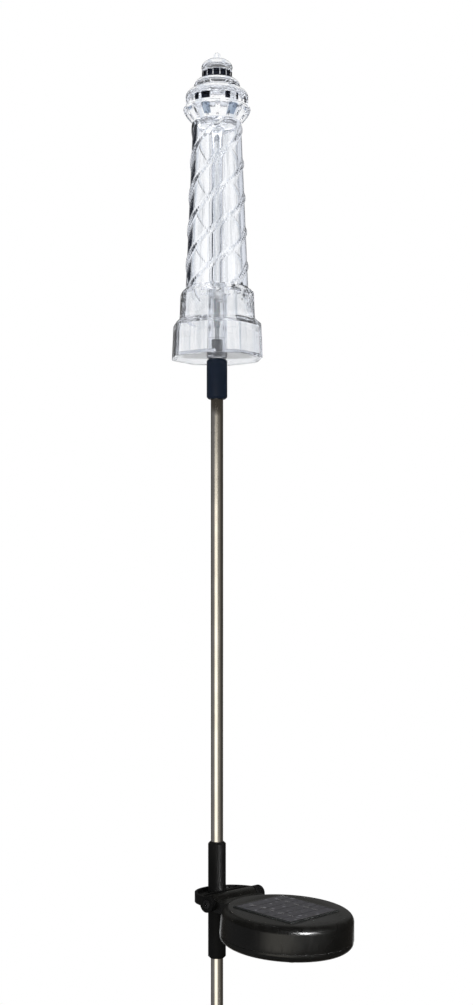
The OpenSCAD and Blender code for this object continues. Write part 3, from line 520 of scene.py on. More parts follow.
metalLooks = {
    "poleSteel": dict(tint=(0.66, 0.63, 0.58), rough=(0.13, 0.19), along=(1.0, 1.0, 0.02), fine=1500.0),
    "platedSteel": dict(tint=(0.66, 0.66, 0.66)),
    "brass": dict(tint=(0.72, 0.52, 0.24)),
    "blackBolt": dict(tint=(0.05, 0.05, 0.052), rough=(0.3, 0.45)),
    "tinned": dict(tint=(0.78, 0.78, 0.76), rough=(0.2, 0.35), fine=1800.0),
    "nickel": dict(tint=(0.7, 0.68, 0.62), rough=(0.14, 0.28), fine=1200.0),
}

siliconLooks = {
    "silicon": dict(grainScale=620, darkGrain=(0.011, 0.011, 0.016), paleGrain=(0.032, 0.031, 0.041),
                    sparkle=(0.3, 0.3, 0.33), finger=(0.13, 0.13, 0.14), fingerGap=1.8, Roughness=0.34,
                    Specular_IOR_Level=0.32, Coat_Weight=0.26, Coat_Roughness=0.12),
}

boardLooks = {
    "boardGreen": dict(mask=((0.012, 0.09, 0.035), (0.016, 0.11, 0.045)), gap=(0.03, 0.2, 0.08),
                       trackScale=260, pad=(0.45, 0.45, 0.42), padScale=330, Roughness=0.3, Coat_Weight=0.3),
}

windingLooks = {
    "winding": dict(tint=(0.62, 0.25, 0.1), paler=(0.75, 0.36, 0.16), scale=1500, Metallic=1.0,
                    Roughness=0.28),
}

looks = {}
for make, group in ((clearPlastic, clearLooks), (mouldedPlastic, plasticLooks), (brushedSteel, metalLooks),
                    (cellSilicon, siliconLooks), (boardMask, boardLooks), (windingWire, windingLooks)):
    for name, values in group.items():
        looks[name] = make(name, **values)
print("materials are made")


def ringGrid(name, outline, steps, shape=None):
    # a closed outline of radius, height and perhaps a mark, in mm, carried once round the axis
    deselectAll()
    rows = len(outline)
    bpy.ops.mesh.primitive_grid_add(x_subdivisions=steps, y_subdivisions=rows, size=2, location=(0, 0, 0))
    o = newest(name)
    for v in o.data.vertices:
        column = round((v.co.x / 2 + 0.5) * steps) % steps
        angle = turn * column / steps
        r, z, mark = (*outline[round((v.co.y / 2 + 0.5) * rows) % rows], "")[:3]
        if shape:
            r, z = shape(r, z, angle, mark)
        v.co = (r * mm * cos(angle), r * mm * sin(angle), z * mm)
    closeMesh(o)
    return o


def openMesh(o):
    makeActive(o)
    bpy.ops.object.mode_set(mode="EDIT")
    bpy.ops.mesh.select_all(action="SELECT")


def closeMesh(o, gap=0.000002):
    openMesh(o)
    bpy.ops.mesh.remove_doubles(threshold=gap)
    bpy.ops.mesh.dissolve_degenerate(threshold=gap)
    bpy.ops.mesh.select_all(action="SELECT")
    bpy.ops.mesh.normals_make_consistent(inside=False)
    bpy.ops.object.mode_set(mode="OBJECT")


def bevelPiece(o, width, segments=2, angle=30):
    makeActive(o)
    cut = o.modifiers.new("softEdge", "BEVEL")
    cut.width = width * mm
    cut.segments = segments
    cut.limit_method = "ANGLE"
    cut.angle_limit = radians(angle)
    cut.use_clamp_overlap = True
    bpy.ops.object.modifier_apply(modifier=cut.name)


def paint(o, material):
    o.data.materials.clear()
    o.data.materials.append(looks[material])
    return o


def paintFaces(o, material, chosen):
    # a second material where chosen(radius, height above the tower's foot, face) holds, both in mm
    o.data.materials.append(looks[material])
    index = len(o.data.materials) - 1
    for face in o.data.polygons:
        c = face.center
        if chosen(hypot(c.x, c.y) / mm, c.z / mm - tower["foot"], face):
            face.material_index = index


def finishPiece(o, body, replaced, material=None, smooth=35):
    makeActive(o)
    bpy.ops.object.shade_smooth_by_angle(angle=radians(smooth))
    if material:
        paint(o, material)
    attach(o, body)
    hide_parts(replaced)


def copyNode(node, name):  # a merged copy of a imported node, ready for modifiers
    o = nodes[node].copy()
    o.data = nodes[node].data.copy()
    o.name = name
    o.parent = None
    for key in list(o.keys()):
        if key.startswith("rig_"):
            del o[key]
    bpy.context.scene.collection.objects.link(o)
    openMesh(o)
    bpy.ops.mesh.remove_doubles(threshold=0.000004)
    bpy.ops.mesh.dissolve_limited(angle_limit=radians(0.6))
    bpy.ops.object.mode_set(mode="OBJECT")
    return o


def arcPoints(cx, cz, r, start, end, count):
    angles = [radians(start + (end - start) * i / count) for i in range(count + 1)]
    return [(cx + r * cos(a), cz + r * sin(a)) for a in angles]


def quarterPoints(cx, cz, rx, rz, count):  # a quarter of an ellipse, without its start
    angles = [pi / 2 * i / count for i in range(1, count + 1)]
    return [(cx + rx * cos(a), cz + rz * sin(a)) for a in angles]


def rowPoints(r, low, high, count, mark=""):  # between two heights, without the ends
    return [(r, low + (high - low) * i / count, mark) for i in range(1, count)]


def smoothStep(t):
    t = max(0.0, min(1.0, t))
    return t * t * (3 - 2 * t)


def nearest(angle, spacing):  # signed distance of an angle to the nearest multiple of spacing
    return (angle + spacing / 2) % spacing - spacing / 2


tower = {
    "foot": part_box("base_plate")[0].z / mm,  # height of the tower's foot, mm; the heights below start there
    "turn": radians(28),
    "baseRadius": 30.7,
    "lean": 0.045,  # of the tiers' walls
    "tierLow": 21.8,
    "tierUpRadius": 25.6,
    "tierUpFoot": 25.2,
    "tierUpTop": 42.2,
    "edge": 0.35,  # round edges of the tiers
    "shaftFoot": 45.6,
    "shaftTop": 152.0,
    "shaftFootRadius": 20.1,
    "shaftTopRadius": 15.5,
    "wall": 2.6,
    "cornerSoft": 0.55,
    "ribCount": 4,
    "ribPitch": 88.0,
    "ribTurn": radians(38),
    "ribWidth": 3.4,
    "ribHeight": 0.8,
    "ribCrest": 0.35,  # share of the half-width that is full height
    "ribSlant": 0.78,  # distance across the rib for one along the level
    "ribFoot": (1.5, 2.0),  # starts this far below the shaft's foot and is full after this length
    "ribTop": (0.2, 1.2),  # ends this far below the shaft's top and fades over this length
    "steps": 320,
    "rowGap": 1.15,
}


def eightSided(corner, angle, soft):  # radius of an octagon with rounded corners
    a = abs(nearest(angle - tower["turn"], turn / 8))
    flat = corner * cos(pi / 8) / cos(pi / 8 - a)
    limit = corner - soft * 0.35
    return -soft * log(exp((limit - flat) / soft) + 1) + limit


def shaftRadius(z):
    share = (z - tower["shaftFoot"]) / (tower["shaftTop"] - tower["shaftFoot"])
    return tower["shaftFootRadius"] + (tower["shaftTopRadius"] - tower["shaftFootRadius"]) * share


def ribRise(angle, z):
    t = tower
    off = nearest(angle - t["turn"] - t["ribTurn"] - turn * z / t["ribPitch"], turn / t["ribCount"])
    away = abs(off) * shaftRadius(z) * t["ribSlant"] / (t["ribWidth"] / 2)
    start = smoothStep((z - t["shaftFoot"] + t["ribFoot"][0]) / t["ribFoot"][1])
    end = smoothStep((t["shaftTop"] - t["ribTop"][0] - z) / t["ribTop"][1])
    return t["ribHeight"] * (1 - smoothStep((away - t["ribCrest"]) / (1 - t["ribCrest"]))) * start * end


def towerShape(r, z, angle, mark):
    if mark == "octagon":
        r = eightSided(r, angle, tower["cornerSoft"])
    elif mark == "octagonInside":
        r = eightSided(r, angle, tower["cornerSoft"] * 0.6)
    elif mark == "ribs":
        r += ribRise(angle, z)
    return r, z + tower["foot"]


def tierWall(radius, foot, top, start, rows):  # a sloped wall and the round edge at its top
    lean, edge = tower["lean"], tower["edge"]
    points = []
    for i in range(1, rows + 1):
        z = foot + start + (top - foot - 1.0) * i / rows
        points.append((radius - lean * (z - foot), z, "octagon"))
    end = radius - lean * (top - foot)
    return points + [(end - 0.12, top - 0.15, "octagon"), (end - 0.5, top + edge, "octagon")]


def buildTower():
    t = tower
    edge, wall, drop = t["edge"], t["wall"], t["wall"] * 0.6
    corner = wall / cos(pi / 8)  # the wall's thickness, measured at a corner
    r, low, up = t["baseRadius"], t["tierLow"], t["tierUpRadius"]
    upFoot, upTop, foot, top = t["tierUpFoot"], t["tierUpTop"], t["shaftFoot"], t["shaftTop"]
    outline = [(r - edge, 0, "octagon"), (r, edge, "octagon")] + tierWall(r, 0, low, start=edge, rows=6)
    outline += [(up + 0.5, upFoot - edge, "octagon"), (up + 0.08, upFoot + 0.25, "octagon")]
    outline += tierWall(up, upFoot, upTop, start=0.25, rows=5)
    outline.append((t["shaftFootRadius"] + 0.95, foot - 0.3, "octagon"))
    rows = round((top - foot) / t["rowGap"])
    for i in range(rows + 1):
        z = foot + (top - foot) * i / rows
        outline.append((shaftRadius(z), z, "ribs"))
    outline.append((t["shaftTopRadius"] - wall, top))  # and down the inside
    for i in range(1, 13):
        z = top - (top - foot + drop) * i / 12
        outline.append((shaftRadius(max(z, foot)) - wall, z))
    outline += [(up - t["lean"] * (upTop - upFoot) - corner, upTop - drop, "octagonInside"),
                (up - corner, upFoot - drop, "octagonInside"),
                (r - t["lean"] * low - corner, low - drop, "octagonInside"), (r - corner, 0, "octagonInside")]
    o = ringGrid("towerShell", outline, t["steps"], towerShape)
    finishPiece(o, "stand", "tower_body", "clearBody", 40)
    paintFaces(o, "clearHazy", lambda r, z, face: z < foot - 0.2)


base = {
    "plateThick": 2.4,
    "plateGap": 0.15,
    "plateEdge": 0.3,
    "socketRadius": 6.45,
    "socketHeight": 45.0,
    "neckBore": 3.55,
    "neckDepth": 13.0,
    "wireBore": 3.85,
    "tubeSeat": 39.0,
    "tubeBore": 4.95,
}


def buildBasePlate():
    b, t = base, tower
    thick, edge, socket, top = b["plateThick"], b["plateEdge"], b["socketRadius"], b["socketHeight"]
    rim = t["baseRadius"] - t["wall"] / cos(pi / 8) - t["lean"] * thick - b["plateGap"]
    outline = [
        (b["neckBore"], 0), (rim - edge, 0, "octagonInside"), (rim, edge, "octagonInside"),
        (rim, thick - edge, "octagonInside"), (rim - edge, thick, "octagonInside"),
        (socket + 1.0, thick), (socket + 0.3, thick + 0.3), (socket, thick + 1.0),
        (socket, top * 0.5), (socket, top - 0.4), (socket - 0.4, top), (b["tubeBore"] + 0.25, top),
        (b["tubeBore"], top - 0.3), (b["tubeBore"], b["tubeSeat"]), (b["wireBore"], b["tubeSeat"]),
        (b["wireBore"], b["neckDepth"] + 0.2), (b["neckBore"], b["neckDepth"]),
    ]
    o = ringGrid("basePlateClear", outline, 192, towerShape)
    finishPiece(o, "stand", "base_plate", "frostedPlate")
    paintFaces(o, "frostedBore", lambda r, z, face: r < b["tubeBore"] + 0.05 and abs(face.normal.z) < 0.9)


lightTube = {"radius": 4.85, "lampBore": 3.1, "lampDepth": 10.0, "bore": 2.3, "cap": 2.0}


def buildLightTube():
    r, wide, narrow = lightTube["radius"], lightTube["lampBore"], lightTube["bore"]
    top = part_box("light_tube")[1].z / mm - tower["foot"]
    seat, roof = base["tubeSeat"], top - lightTube["cap"]
    step = seat + lightTube["lampDepth"]
    outline = [(narrow, step), (wide, step - 0.2), (wide, seat), (r - 0.25, seat), (r, seat + 0.25)]
    outline += rowPoints(r, seat, top, 8)
    outline += [(r, top - 0.3), (r - 0.3, top), (0, top), (0, roof), (narrow - 0.4, roof - 0.2),
                (narrow, roof - 0.8)]
    o = ringGrid("lightTubeClear", outline, 96, towerShape)
    finishPiece(o, "stand", "light_tube", "clearTube")
    paintFaces(o, "frostedBore", lambda r, z, face: r < wide + 0.1 and abs(face.normal.z) < 0.9)


gallery = {
    "turn": radians(16),  # of the corbels and panels on the tower
    "foot": 152.1,
    "footRadius": 15.8,
    "lipRadius": 21.6,
    "flare": 8.0,
    "flareBow": 1.4,
    "railRadius": 20.2,
    "railFoot": 161.7,
    "railTop": 168.3,
    "railEdge": 0.95,
    "roundTop": 173.5,
    "topRadius": 13.7,
    "spigotRadius": 12.8,
    "spigotDepth": 4.0,
    "count": 16,
    "grooveDepth": 1.5,
    "grooveShare": 0.42,
    "grooveEnds": (0.25, 0.22),  # shares of the flare over which a groove comes and goes
    "panelDepth": 0.95,
    "panelShare": 0.77,
    "panelEdge": 0.07,
    "darkArcs": ((-94, -83), (-80, -59), (-32, -22), (-14, -3), (15, 31)),  # panels painted with shade, degrees round from +X
    # grooves painted with blue shade, degrees round from +X
    "blueArcs": ((-75, -60), (-25, -9)),
    "tubeBore": 4.95,
    "tubeDepth": 2.65,
    "steps": 384,
}


def galleryShape(r, z, angle, mark):
    g = gallery
    pitch = turn / g["count"]
    off = abs(nearest(angle - tower["turn"] - g["turn"], pitch)) / (pitch / 2)
    if mark == "flare":
        level = (z - g["foot"]) / g["flare"]
        fade = smoothStep(level / g["grooveEnds"][0]) * smoothStep((1 - level) / g["grooveEnds"][1])
        r -= g["grooveDepth"] * (1 - smoothStep(off / g["grooveShare"])) * fade
    elif mark == "rail":
        r -= g["panelDepth"] * (1 - smoothStep((off - g["panelShare"] + g["panelEdge"]) / g["panelEdge"]))
    return r, z + tower["foot"]


def buildGallery():
    g = gallery
    foot, rail, edge = g["foot"], g["railRadius"], g["railEdge"]
    railFoot, railTop, bore, r = g["railFoot"], g["railTop"], g["tubeBore"], g["spigotRadius"]
    lip, spigot = foot + g["flare"], foot - g["spigotDepth"]
    outline = [(0, spigot + g["tubeDepth"]), (bore, spigot + g["tubeDepth"]), (bore, spigot),
               (r - 0.3, spigot), (r, spigot + 0.3), (r, foot), (g["footRadius"] - 0.2, foot),
               (g["footRadius"], foot + 0.2)]
    for i in range(1, 17):
        s = i / 16
        reach = (g["lipRadius"] - g["footRadius"]) * (1 - (1 - s) ** g["flareBow"])
        outline.append((g["footRadius"] + reach, foot + g["flare"] * s, "flare"))
    outline += [(g["lipRadius"], lip + 0.5), (g["lipRadius"] - 0.15, lip + 0.8),
                (rail + 0.25, railFoot - 0.15), (rail, railFoot), (rail, railFoot + edge - 0.2),
                (rail, railFoot + edge, "rail")]
    outline += rowPoints(rail, railFoot + edge, railTop - edge - 0.2, 6, "rail")
    outline += [(rail, railTop - edge - 0.2, "rail"), (rail, railTop - edge), (rail, railTop)]
    outline += quarterPoints(g["topRadius"], railTop, rail - g["topRadius"], g["roundTop"] - railTop, 10)
    outline.append((0, g["roundTop"]))
    o = ringGrid("galleryClear", outline, g["steps"], galleryShape)
    finishPiece(o, "stand", "gallery", "clearThick", 40)

    def within(face, arcs):  # the arcs repeat after half a turn
        angle = degrees(atan2(face.center.y, face.center.x))
        return any(abs((angle - (low + high) / 2 + 90) % 180 - 90) < (high - low) / 2 for low, high in arcs)

    # some rail panels get painted shade
    paintFaces(o, "smokyPane", lambda r, z, face: rail - 1.1 < r < rail - 0.6 and railFoot < z < railTop
               and within(face, g["darkArcs"]))
    # some grooves under the lip get painted blue shade
    paintFaces(o, "blueGroove", lambda r, z, face: foot + 1.6 < z < lip - 0.3 and r > g["footRadius"] + 0.1
               and within(face, g["blueArcs"]))


lanternRoom = {
    "foot": 173.6,
    "discRadius": 14.9,
    "footRadius": 13.7,
    "discHeight": 6.2,
    "discEdge": 1.6,
    "radius": 9.7,
    "curb": 0.8,  # how far the disc's top stands out from the panes
    "height": 7.2,
    "sill": 0.6,
    "paneFoot": 1.0,  # above the disc
    "paneTop": 5.0,
    "panes": 14,
    "paneDepth": 0.85,
    "paneShare": 0.76,
    "paneEdge": 0.08,
    "darkShare": 0.9,  # of a pane's pitch that is painted with shade
    "darkRing": (0.9, 3.4, 1.8),  # painted shade on the disc: from and to this far out from the panes, and this far down
    "steps": 288,
}


def lanternShape(r, z, angle, mark):
    s = lanternRoom
    if mark == "pane":
        pitch = turn / s["panes"]
        off = abs(nearest(angle - tower["turn"], pitch)) / (pitch / 2)
        r -= s["paneDepth"] * (1 - smoothStep((off - s["paneShare"] + s["paneEdge"]) / s["paneEdge"]))
    return r, z + tower["foot"]


def buildLantern():
    s = lanternRoom
    foot, edge, r, curb = s["foot"], s["discEdge"], s["radius"], s["radius"] + s["curb"]
    disc, sill = foot + s["discHeight"], s["sill"]
    low, high, top = disc + s["paneFoot"], disc + s["paneTop"], disc + s["height"]
    outline = [(0, foot), (s["footRadius"], foot)]
    outline += arcPoints(s["discRadius"] - edge, foot + edge, edge, -60, 0, 9)[:-1]
    outline += quarterPoints(curb, foot + edge, s["discRadius"] - curb, s["discHeight"] - edge, 14)
    outline += [(curb, disc + sill * 0.6), (r + 0.1, disc + sill * 0.9), (r, disc + sill + 0.1),
                (r, low - 0.1), (r, low + 0.05, "pane")]
    outline += rowPoints(r, low + 0.05, high - 0.05, 5, "pane")
    outline += [(r, high - 0.05, "pane"), (r, high + 0.1), (r, high + 0.7), (r, top - 0.2), (r - 0.2, top),
                (0, top)]
    o = ringGrid("lanternClear", outline, s["steps"], lanternShape)
    finishPiece(o, "stand", "lantern", "clearThick", 40)
    pitch = turn / s["panes"]
    inner, outer, down = s["darkRing"]

    def paintedShadeFace(radius, z, face):  # painted shade on the panes, and on a ring on the disc below them
        off = abs(nearest(atan2(face.center.y, face.center.x) - tower["turn"], pitch)) / (pitch / 2)
        return (disc + sill < z < high and r - 1 < radius < r + 0.05 and off < s["darkShare"]
                or r + inner < radius < r + outer and z > disc - down)

    # the panes and the ring get painted shade
    paintFaces(o, "smokyPane", paintedShadeFace)
    paintFaces(o, "frostedTop", lambda radius, z, face: z > high + 0.15)


dome = {
    "foot": 187.1,
    "eaves": 10.1,
    "eavesEdge": 0.4,
    "height": 6.1,
    "end": 72.0,  # degrees up the bow where the ball starts
    "ball": 2.4,
    "ballRise": 0.75,  # of its middle, in ball radii above the bow
}


def buildRoof():
    d = dome
    foot, r, ball, edge = d["foot"], d["eaves"], d["ball"], d["eavesEdge"]
    ballHeight = foot + d["height"] + ball * d["ballRise"]
    rise = (d["height"] - edge) / sin(radians(d["end"]))
    outline = [(0, foot), (r - 0.6, foot), (r - 0.15, foot + 0.12), (r, foot + edge)]
    for i in range(1, 19):
        a = radians(d["end"] * i / 18)
        outline.append((r * cos(a), foot + edge + rise * sin(a)))
    outline += arcPoints(0, ballHeight, ball, -50, 84, 20) + [(0, ballHeight + ball * sin(radians(84)))]
    finishPiece(ringGrid("roofClear", outline, 128, towerShape), "stand", "roof", "clearDome", 40)


buildTower()
buildBasePlate()
buildLightTube()
buildGallery()
buildLantern()
buildRoof()
print("clear tower is built")

joints = {j["name"]: j for j in frame["record"]["behaviour"]["joints"]}
hinge = Vector(joints["panel_tilt"]["pos_m"])
panelPlace = Matrix.Translation(hinge) @ Matrix.Rotation(radians(4), 4, "Y")
alongY = Matrix.Rotation(radians(-90), 4, "X")


def placeMesh(o, matrix):
    o.data.transform(matrix)
    return o


def offset(x, y, z):
    return Matrix.Translation(Vector((x, y, z)) * mm)


def block(name, material, low, high, soft, segments=2):
    # a painted block between two corners, in mm, with rounded edges
    deselectAll()
    bpy.ops.mesh.primitive_cube_add(size=1, location=(0, 0, 0))
    o = newest(name)
    for v in o.data.vertices:
        v.co = [mm * (a + (c + 0.5) * (b - a)) for a, b, c in zip(low, high, v.co)]
    bevelPiece(o, soft, segments)
    return paint(o, material)


def wirePiece(name, material, points, radius, rings=2):  # a painted round wire through points, in mm
    deselectAll()
    bpy.ops.curve.primitive_nurbs_path_add(location=(0, 0, 0))
    o = newest(name)
    curve = o.data
    curve.splines.clear()
    line = curve.splines.new("POLY")
    line.points.add(len(points) - 1)
    for point, place in zip(line.points, points):
        point.co = (*(c * mm for c in place), 1)
    curve.bevel_depth = radius * mm
    curve.bevel_resolution = rings
    curve.use_fill_caps = True
    bpy.ops.object.convert(target="MESH")
    closeMesh(o)
    return paint(o, material)


def joinPieces(name, *pieces):
    makeActive(pieces[0])
    for o in pieces:
        o.select_set(True)
    bpy.ops.object.join()
    return newest(name)


pole = {"wall": 0.5, "endRoll": 0.22, "rows": 12}


def buildPole(node, name):
    low, high = (v.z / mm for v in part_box(node))
    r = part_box(node)[1].x / mm
    inner, e = r - pole["wall"], pole["endRoll"]
    outline = [(r - e, low), (r, low + e)] + rowPoints(r, low, high, pole["rows"])
    outline += [(r, high - e), (r - e, high), (inner + e * 0.4, high), (inner, high - e * 0.4),
                (inner, low + e * 0.4), (inner + e * 0.4, low)]
    finishPiece(ringGrid(name, outline, 72), "stand", node, "poleSteel", 50)


buildPole("lower_pole", "lowerTube")
buildPole("upper_pole", "upperTube")
print("steel tubes are built")

lamp = {
    "foot": 40.0,
    "radius": 2.5,
    "flange": 0.4,
    "body": 5.0,
    "cup": 0.95,
    "frameFoot": 40.3,
    "frameTop": 43.0,
}


def buildLamp():
    s = lamp
    foot, r, rim, top = s["foot"], s["radius"], s["radius"] + s["flange"], s["foot"] + s["body"]
    outline = [(0, foot), (rim - 0.1, foot), (rim, foot + 0.1), (rim, foot + 0.85), (rim - 0.15, foot + 1.0),
               (r + 0.1, foot + 1.05), (r, foot + 1.2), (r, foot + 3)]
    outline += arcPoints(0, top, r, 0, 84, 14) + [(0, top + r * sin(radians(84)))]
    finishPiece(ringGrid("lampLens", outline, 48, towerShape), "stand", "led", "epoxyLens", 40)
    # a cup with its chip on one leg's frame, the thinner post beside it, and a wire between them
    cup, high = s["cup"], s["frameTop"]
    bowl = [(0, high - 0.9), (cup * 0.8, high - 0.9), (cup, high - 0.7), (cup, high), (cup - 0.15, high),
            (cup * 0.55, high - 0.5), (0, high - 0.5)]
    pieces = [paint(ringGrid("lampFrame", bowl, 32, towerShape), "tinned")]
    low, high = tower["foot"] + s["frameFoot"], tower["foot"] + high
    pieces += [block("stem", "tinned", (-1.3, -0.22, low), (0.5, 0.22, high - 0.85), 0.06),
               block("post", "tinned", (0.95, -0.22, low), (1.75, 0.22, high - 0.2), 0.06),
               block("dot", "phosphor", (-0.3, -0.3, high - 0.5), (0.3, 0.3, high - 0.3), 0.05),
               wirePiece("link", "tinned", [(0, 0, high - 0.3), (0.3, 0, high + 0.35), (0.8, 0, high + 0.45),
                                            (1.2, 0, high - 0.22)], 0.035, 1)]
    finishPiece(joinPieces("lampFrame", *pieces), "stand", "led")


buildLamp()
print("lamp is built")

cell = {
    "middle": 46.2,  # from the hinge axis
    "side": 46.0,
    "foot": 3.9,
    "top": 4.2,
    "strips": 6,
    "stripGap": 0.35,
    "lip": 0.9,
    "ribbonWidth": 0.6,
    "ribbonPlace": 0.27,  # share of the strips' length, to either side
    "tabs": [(-21.0, 19.3, 1.5, 0.8), (-19.4, 21.2, 1.2, 0.9)],  # solder spots near the far corner
}


def buildCell():
    c = cell
    half, lip, low = c["side"] / 2, c["lip"], c["foot"]
    x0, x1 = c["middle"] - half, c["middle"] - half + c["side"]
    pieces = [block("sheet", "resinEdge", (x0, -half, low), (x1, half, low + 0.1), 0.04, 1)]
    for a, b in (((x0, -half), (x1, -half + lip)), ((x0, half - lip), (x1, half)),
                 ((x0, -half + lip), (x0 + lip, half - lip)), ((x1 - lip, -half + lip), (x1, half - lip))):
        pieces.append(block("rim", "resinEdge", (*a, low), (*b, c["top"]), 0.1))
    inner = c["side"] - 2 * lip - 0.3
    step = (inner + c["stripGap"]) / c["strips"]
    reach, half = inner * c["ribbonPlace"], c["ribbonWidth"] / 2
    for i in range(c["strips"]):
        a = x0 + lip + 0.15 + step * i
        b = a + step - c["stripGap"]
        pieces.append(block("strip", "silicon", (a, -inner / 2, low + 0.08),
                            (b, inner / 2, low + 0.2), 0.05, 1))
        if i < c["strips"] - 1:  # two ribbons bridge each gap
            for y in (-reach, reach):
                pieces.append(block("ribbon", "tinned", (a + step * 0.45, y - half, low + 0.18),
                                    (b + step * 0.12, y + half, low + 0.225), 0.015, 1))
    for x, y, long, wide in c["tabs"]:
        x += c["middle"]
        pieces.append(block("tab", "tinned", (x - long / 2, y - wide / 2, low + 0.18),
                            (x + long / 2, y + wide / 2, low + 0.29), 0.05))
    o = placeMesh(joinPieces("cellFace", *pieces), panelPlace)
    finishPiece(o, "panel", "solar_cell")


buildCell()
print("solar cell is built")

battery = {"x": 56.7, "radius": 5.25, "half": 22.25, "nub": 2.6, "steps": 64}
contacts = {"thick": 0.5, "gap": 1.6, "coilWire": 0.2, "coilTurns": 2, "coilReach": (0.62, 0.38)}
low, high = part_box("battery")
batteryHeight = (panelPlace.inverted() @ ((low + high) / 2)).z / mm  # in the panel's own frame


def buildBattery():
    b = battery
    r, h, n = b["radius"], b["half"], b["nub"]
    outline = [(0, -h), (r - 1.6, -h), (r - 1.2, -h + 0.12), (r - 0.7, -h + 0.05), (r - 0.25, -h + 0.15),
               (r - 0.05, -h + 0.45), (r, -h + 0.8), (r, -h + 8), (r, 0), (r, h - 8), (r, h - 2.4),
               (r - 0.3, h - 2.15), (r - 0.3, h - 1.8), (r - 0.04, h - 1.55), (r - 0.2, h - 1.2),
               (r - 0.8, h - 1.0), (r - 1.1, h - 1.15), (n + 0.5, h - 1.15), (n + 0.1, h - 1.0),
               (n, h - 0.25), (n - 0.25, h), (0, h)]
    o = paint(ringGrid("batteryCell", outline, b["steps"]), "wrapGreen")
    paintFaces(o, "nickel", lambda radius, z, face: radius < r - 0.5)
    placeMesh(o, panelPlace @ offset(b["x"], 0, batteryHeight) @ alongY)
    finishPiece(o, "panel", "battery")


def buildContacts():  # two sprung plates, one with a coil
    x, r, half = battery["x"], battery["radius"], battery["half"]
    thick, gap = contacts["thick"], contacts["gap"]
    w, foot = r * 0.7, batteryHeight - r - 0.6
    pieces = []
    for y in (half + 0.05, -half - gap - thick):
        pieces.append(block("plate", "nickel", (x - w, y, foot), (x + w, y + thick, foot + 2 * r - 1), 0.12))
    wide, narrow = contacts["coilReach"]
    coil = []
    for i in range(61):
        a = turn * contacts["coilTurns"] * i / 60
        reach = r * (wide + (narrow - wide) * i / 60)
        y = -half - gap + 0.2 + (gap - 0.5) * i / 60
        coil.append((x + reach * cos(a), y, batteryHeight + reach * sin(a)))
    pieces.append(wirePiece("coil", "nickel", coil, contacts["coilWire"]))
    o = placeMesh(joinPieces("contactSet", *pieces), panelPlace)
    finishPiece(o, "panel", "battery_contacts")


buildBattery()
buildContacts()
print("rechargeable cell and contacts are built")

board = {"x": 30.7, "halfThick": 0.8, "coilPlace": 7, "canPlace": (3.6, -9), "windings": 6}


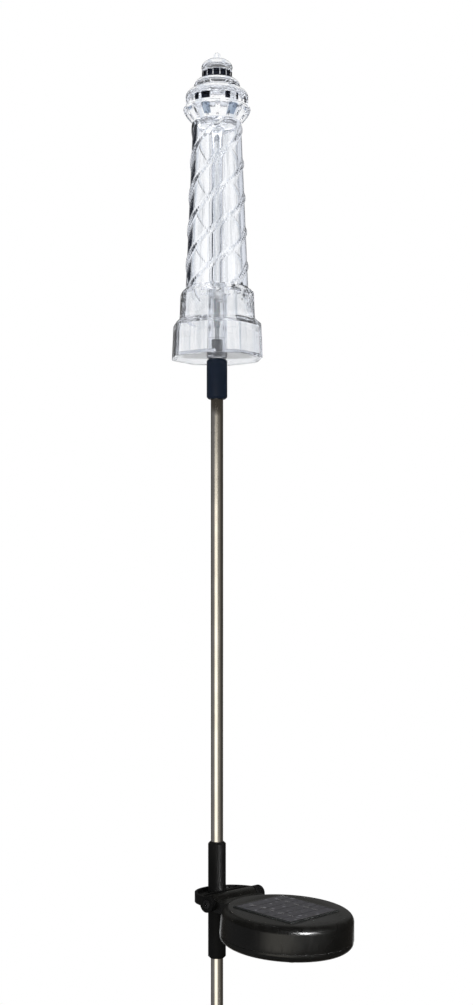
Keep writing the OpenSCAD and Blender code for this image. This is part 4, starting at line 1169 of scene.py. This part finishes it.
def buildBoardParts():  # chip with legs, wound coil, capacitor and a small chip of ceramic
    low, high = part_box("circuit_board")
    middle = Vector(((low.x + high.x) / 2, 0, (low.z + high.z) / 2))
    x, z, y = board["x"], (panelPlace.inverted() @ middle).z / mm + board["halfThick"], board["coilPlace"]
    pieces = [block("chip", "chipBlack", (x - 1.9, -2, z + 0.15), (x + 1.9, 2, z + 1.5), 0.12)]
    for row in (-1.5, -0.5, 0.5, 1.5):
        for a in (x - 2.5, x + 1.85):
            pieces.append(block("leg", "tinned", (a, row - 0.18, z),
                                (a + 0.65, row + 0.18, z + 0.5), 0.05, 1))
    drum = ringGrid("drum", [(0, 0), (2.5, 0), (2.6, 0.1), (2.6, 0.6), (1.7, 0.7), (1.7, 2.5), (2.6, 2.6),
                             (2.6, 3.1), (2.5, 3.2), (0, 3.2)], 40)
    pieces.append(paint(placeMesh(drum, offset(x, y, z)), "chipBlack"))
    coil = []
    for i in range(181):
        a = turn * board["windings"] * i / 180
        coil.append((x + 1.95 * cos(a), y + 1.95 * sin(a), z + 0.85 + 1.5 * i / 180))
    pieces.append(wirePiece("turns", "winding", coil, 0.13, 1))
    can = ringGrid("can", [(0, 0), (1.7, 0), (1.95, 0.2), (2.0, 0.5), (1.8, 0.8), (2.0, 1.1), (2.0, 3.9),
                           (1.8, 4.2), (1.1, 4.2), (1.0, 4.12), (0, 4.12)], 40)
    paintFaces(paint(can, "sleeveBlack"), "tinned", lambda r, height, face: face.normal.z > 0.7 and r < 1.85)
    pieces.append(placeMesh(can, offset(x + board["canPlace"][0], board["canPlace"][1], z)))
    pieces.append(block("ceramic", "ceramicTan", (x - 5.5, -11, z + 0.05), (x - 3.5, -9, z + 1.0), 0.1))
    for a in (x - 6, x - 3.5):
        pieces.append(block("end", "tinned", (a, -11, z), (a + 0.5, -9, z + 1.0), 0.08))
    o = placeMesh(joinPieces("boardParts", *pieces), panelPlace)
    finishPiece(o, "panel", "board_parts")


buildBoardParts()
print("board parts are built")

softened = {
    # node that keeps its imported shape: name, body, material, slot, edge radius in mm
    "collar": ("collarSoft", "stand", "navyCollar", "collar_plastic", 0.35),
    "pole_bracket": ("bracketSoft", "stand", "blackBracket", "black_plastic", 0.4),
    "ground_stake": ("stakeSoft", "stand", "blackStake", "black_plastic", 0.35),
    "hinge_bolt": ("boltSoft", "stand", "blackBolt", "fixing", 0.12),
    "hinge_washers": ("washersSoft", "stand", "washerNylon", "black_plastic", 0.1),
    "led_leads": ("lampLegs", "stand", "tinned", "legs", 0.03),
    "heat_shrink": ("shrinkSleeves", "stand", "sleeveMilky", "sleeving", 0.08),
    "lead_wires": ("leadPair", "stand", "wirePale", "wires", 0.05),
    "hinge_knob": ("knobSoft", "knob", "blackBracket", "black_plastic", 0.15),
    "hinge_nut": ("nutSoft", "knob", "brass", "nut", 0.18),
    "panel_shell": ("panelShellSoft", "panel", "blackPanel", "panel_plastic", 0.3),
    "panel_cover": ("panelCoverSoft", "panel", "blackPanel", "panel_plastic", 0.3),
    "panel_seal": ("sealRing", "panel", "sealFoam", "seal", 0.1),
    "cover_screws": ("coverScrewsSoft", "panel", "platedSteel", "fixing", 0.08),
    "cell_board": ("cellBoardSoft", "panel", "laminate", "cell_board", 0.12),
    "battery_door": ("doorSoft", "panel", "blackPanel", "panel_plastic", 0.12),
    "door_screw": ("doorScrewSoft", "panel", "platedSteel", "fixing", 0.06),
    "circuit_board": ("boardSoft", "panel", "boardGreen", "board", 0.1),
    "switch_body": ("switchSoft", "panel", "nickel", "switch", 0.15),
    "switch_slider": ("sliderSoft", "switch", "sliderPale", "slider", 0.08),
}

for node, (name, body, material, slotName, width) in softened.items():
    o = copyNode(node, name)
    bevelPiece(o, width)
    finishPiece(o, body, node, material)
print("kept shapes are softened")
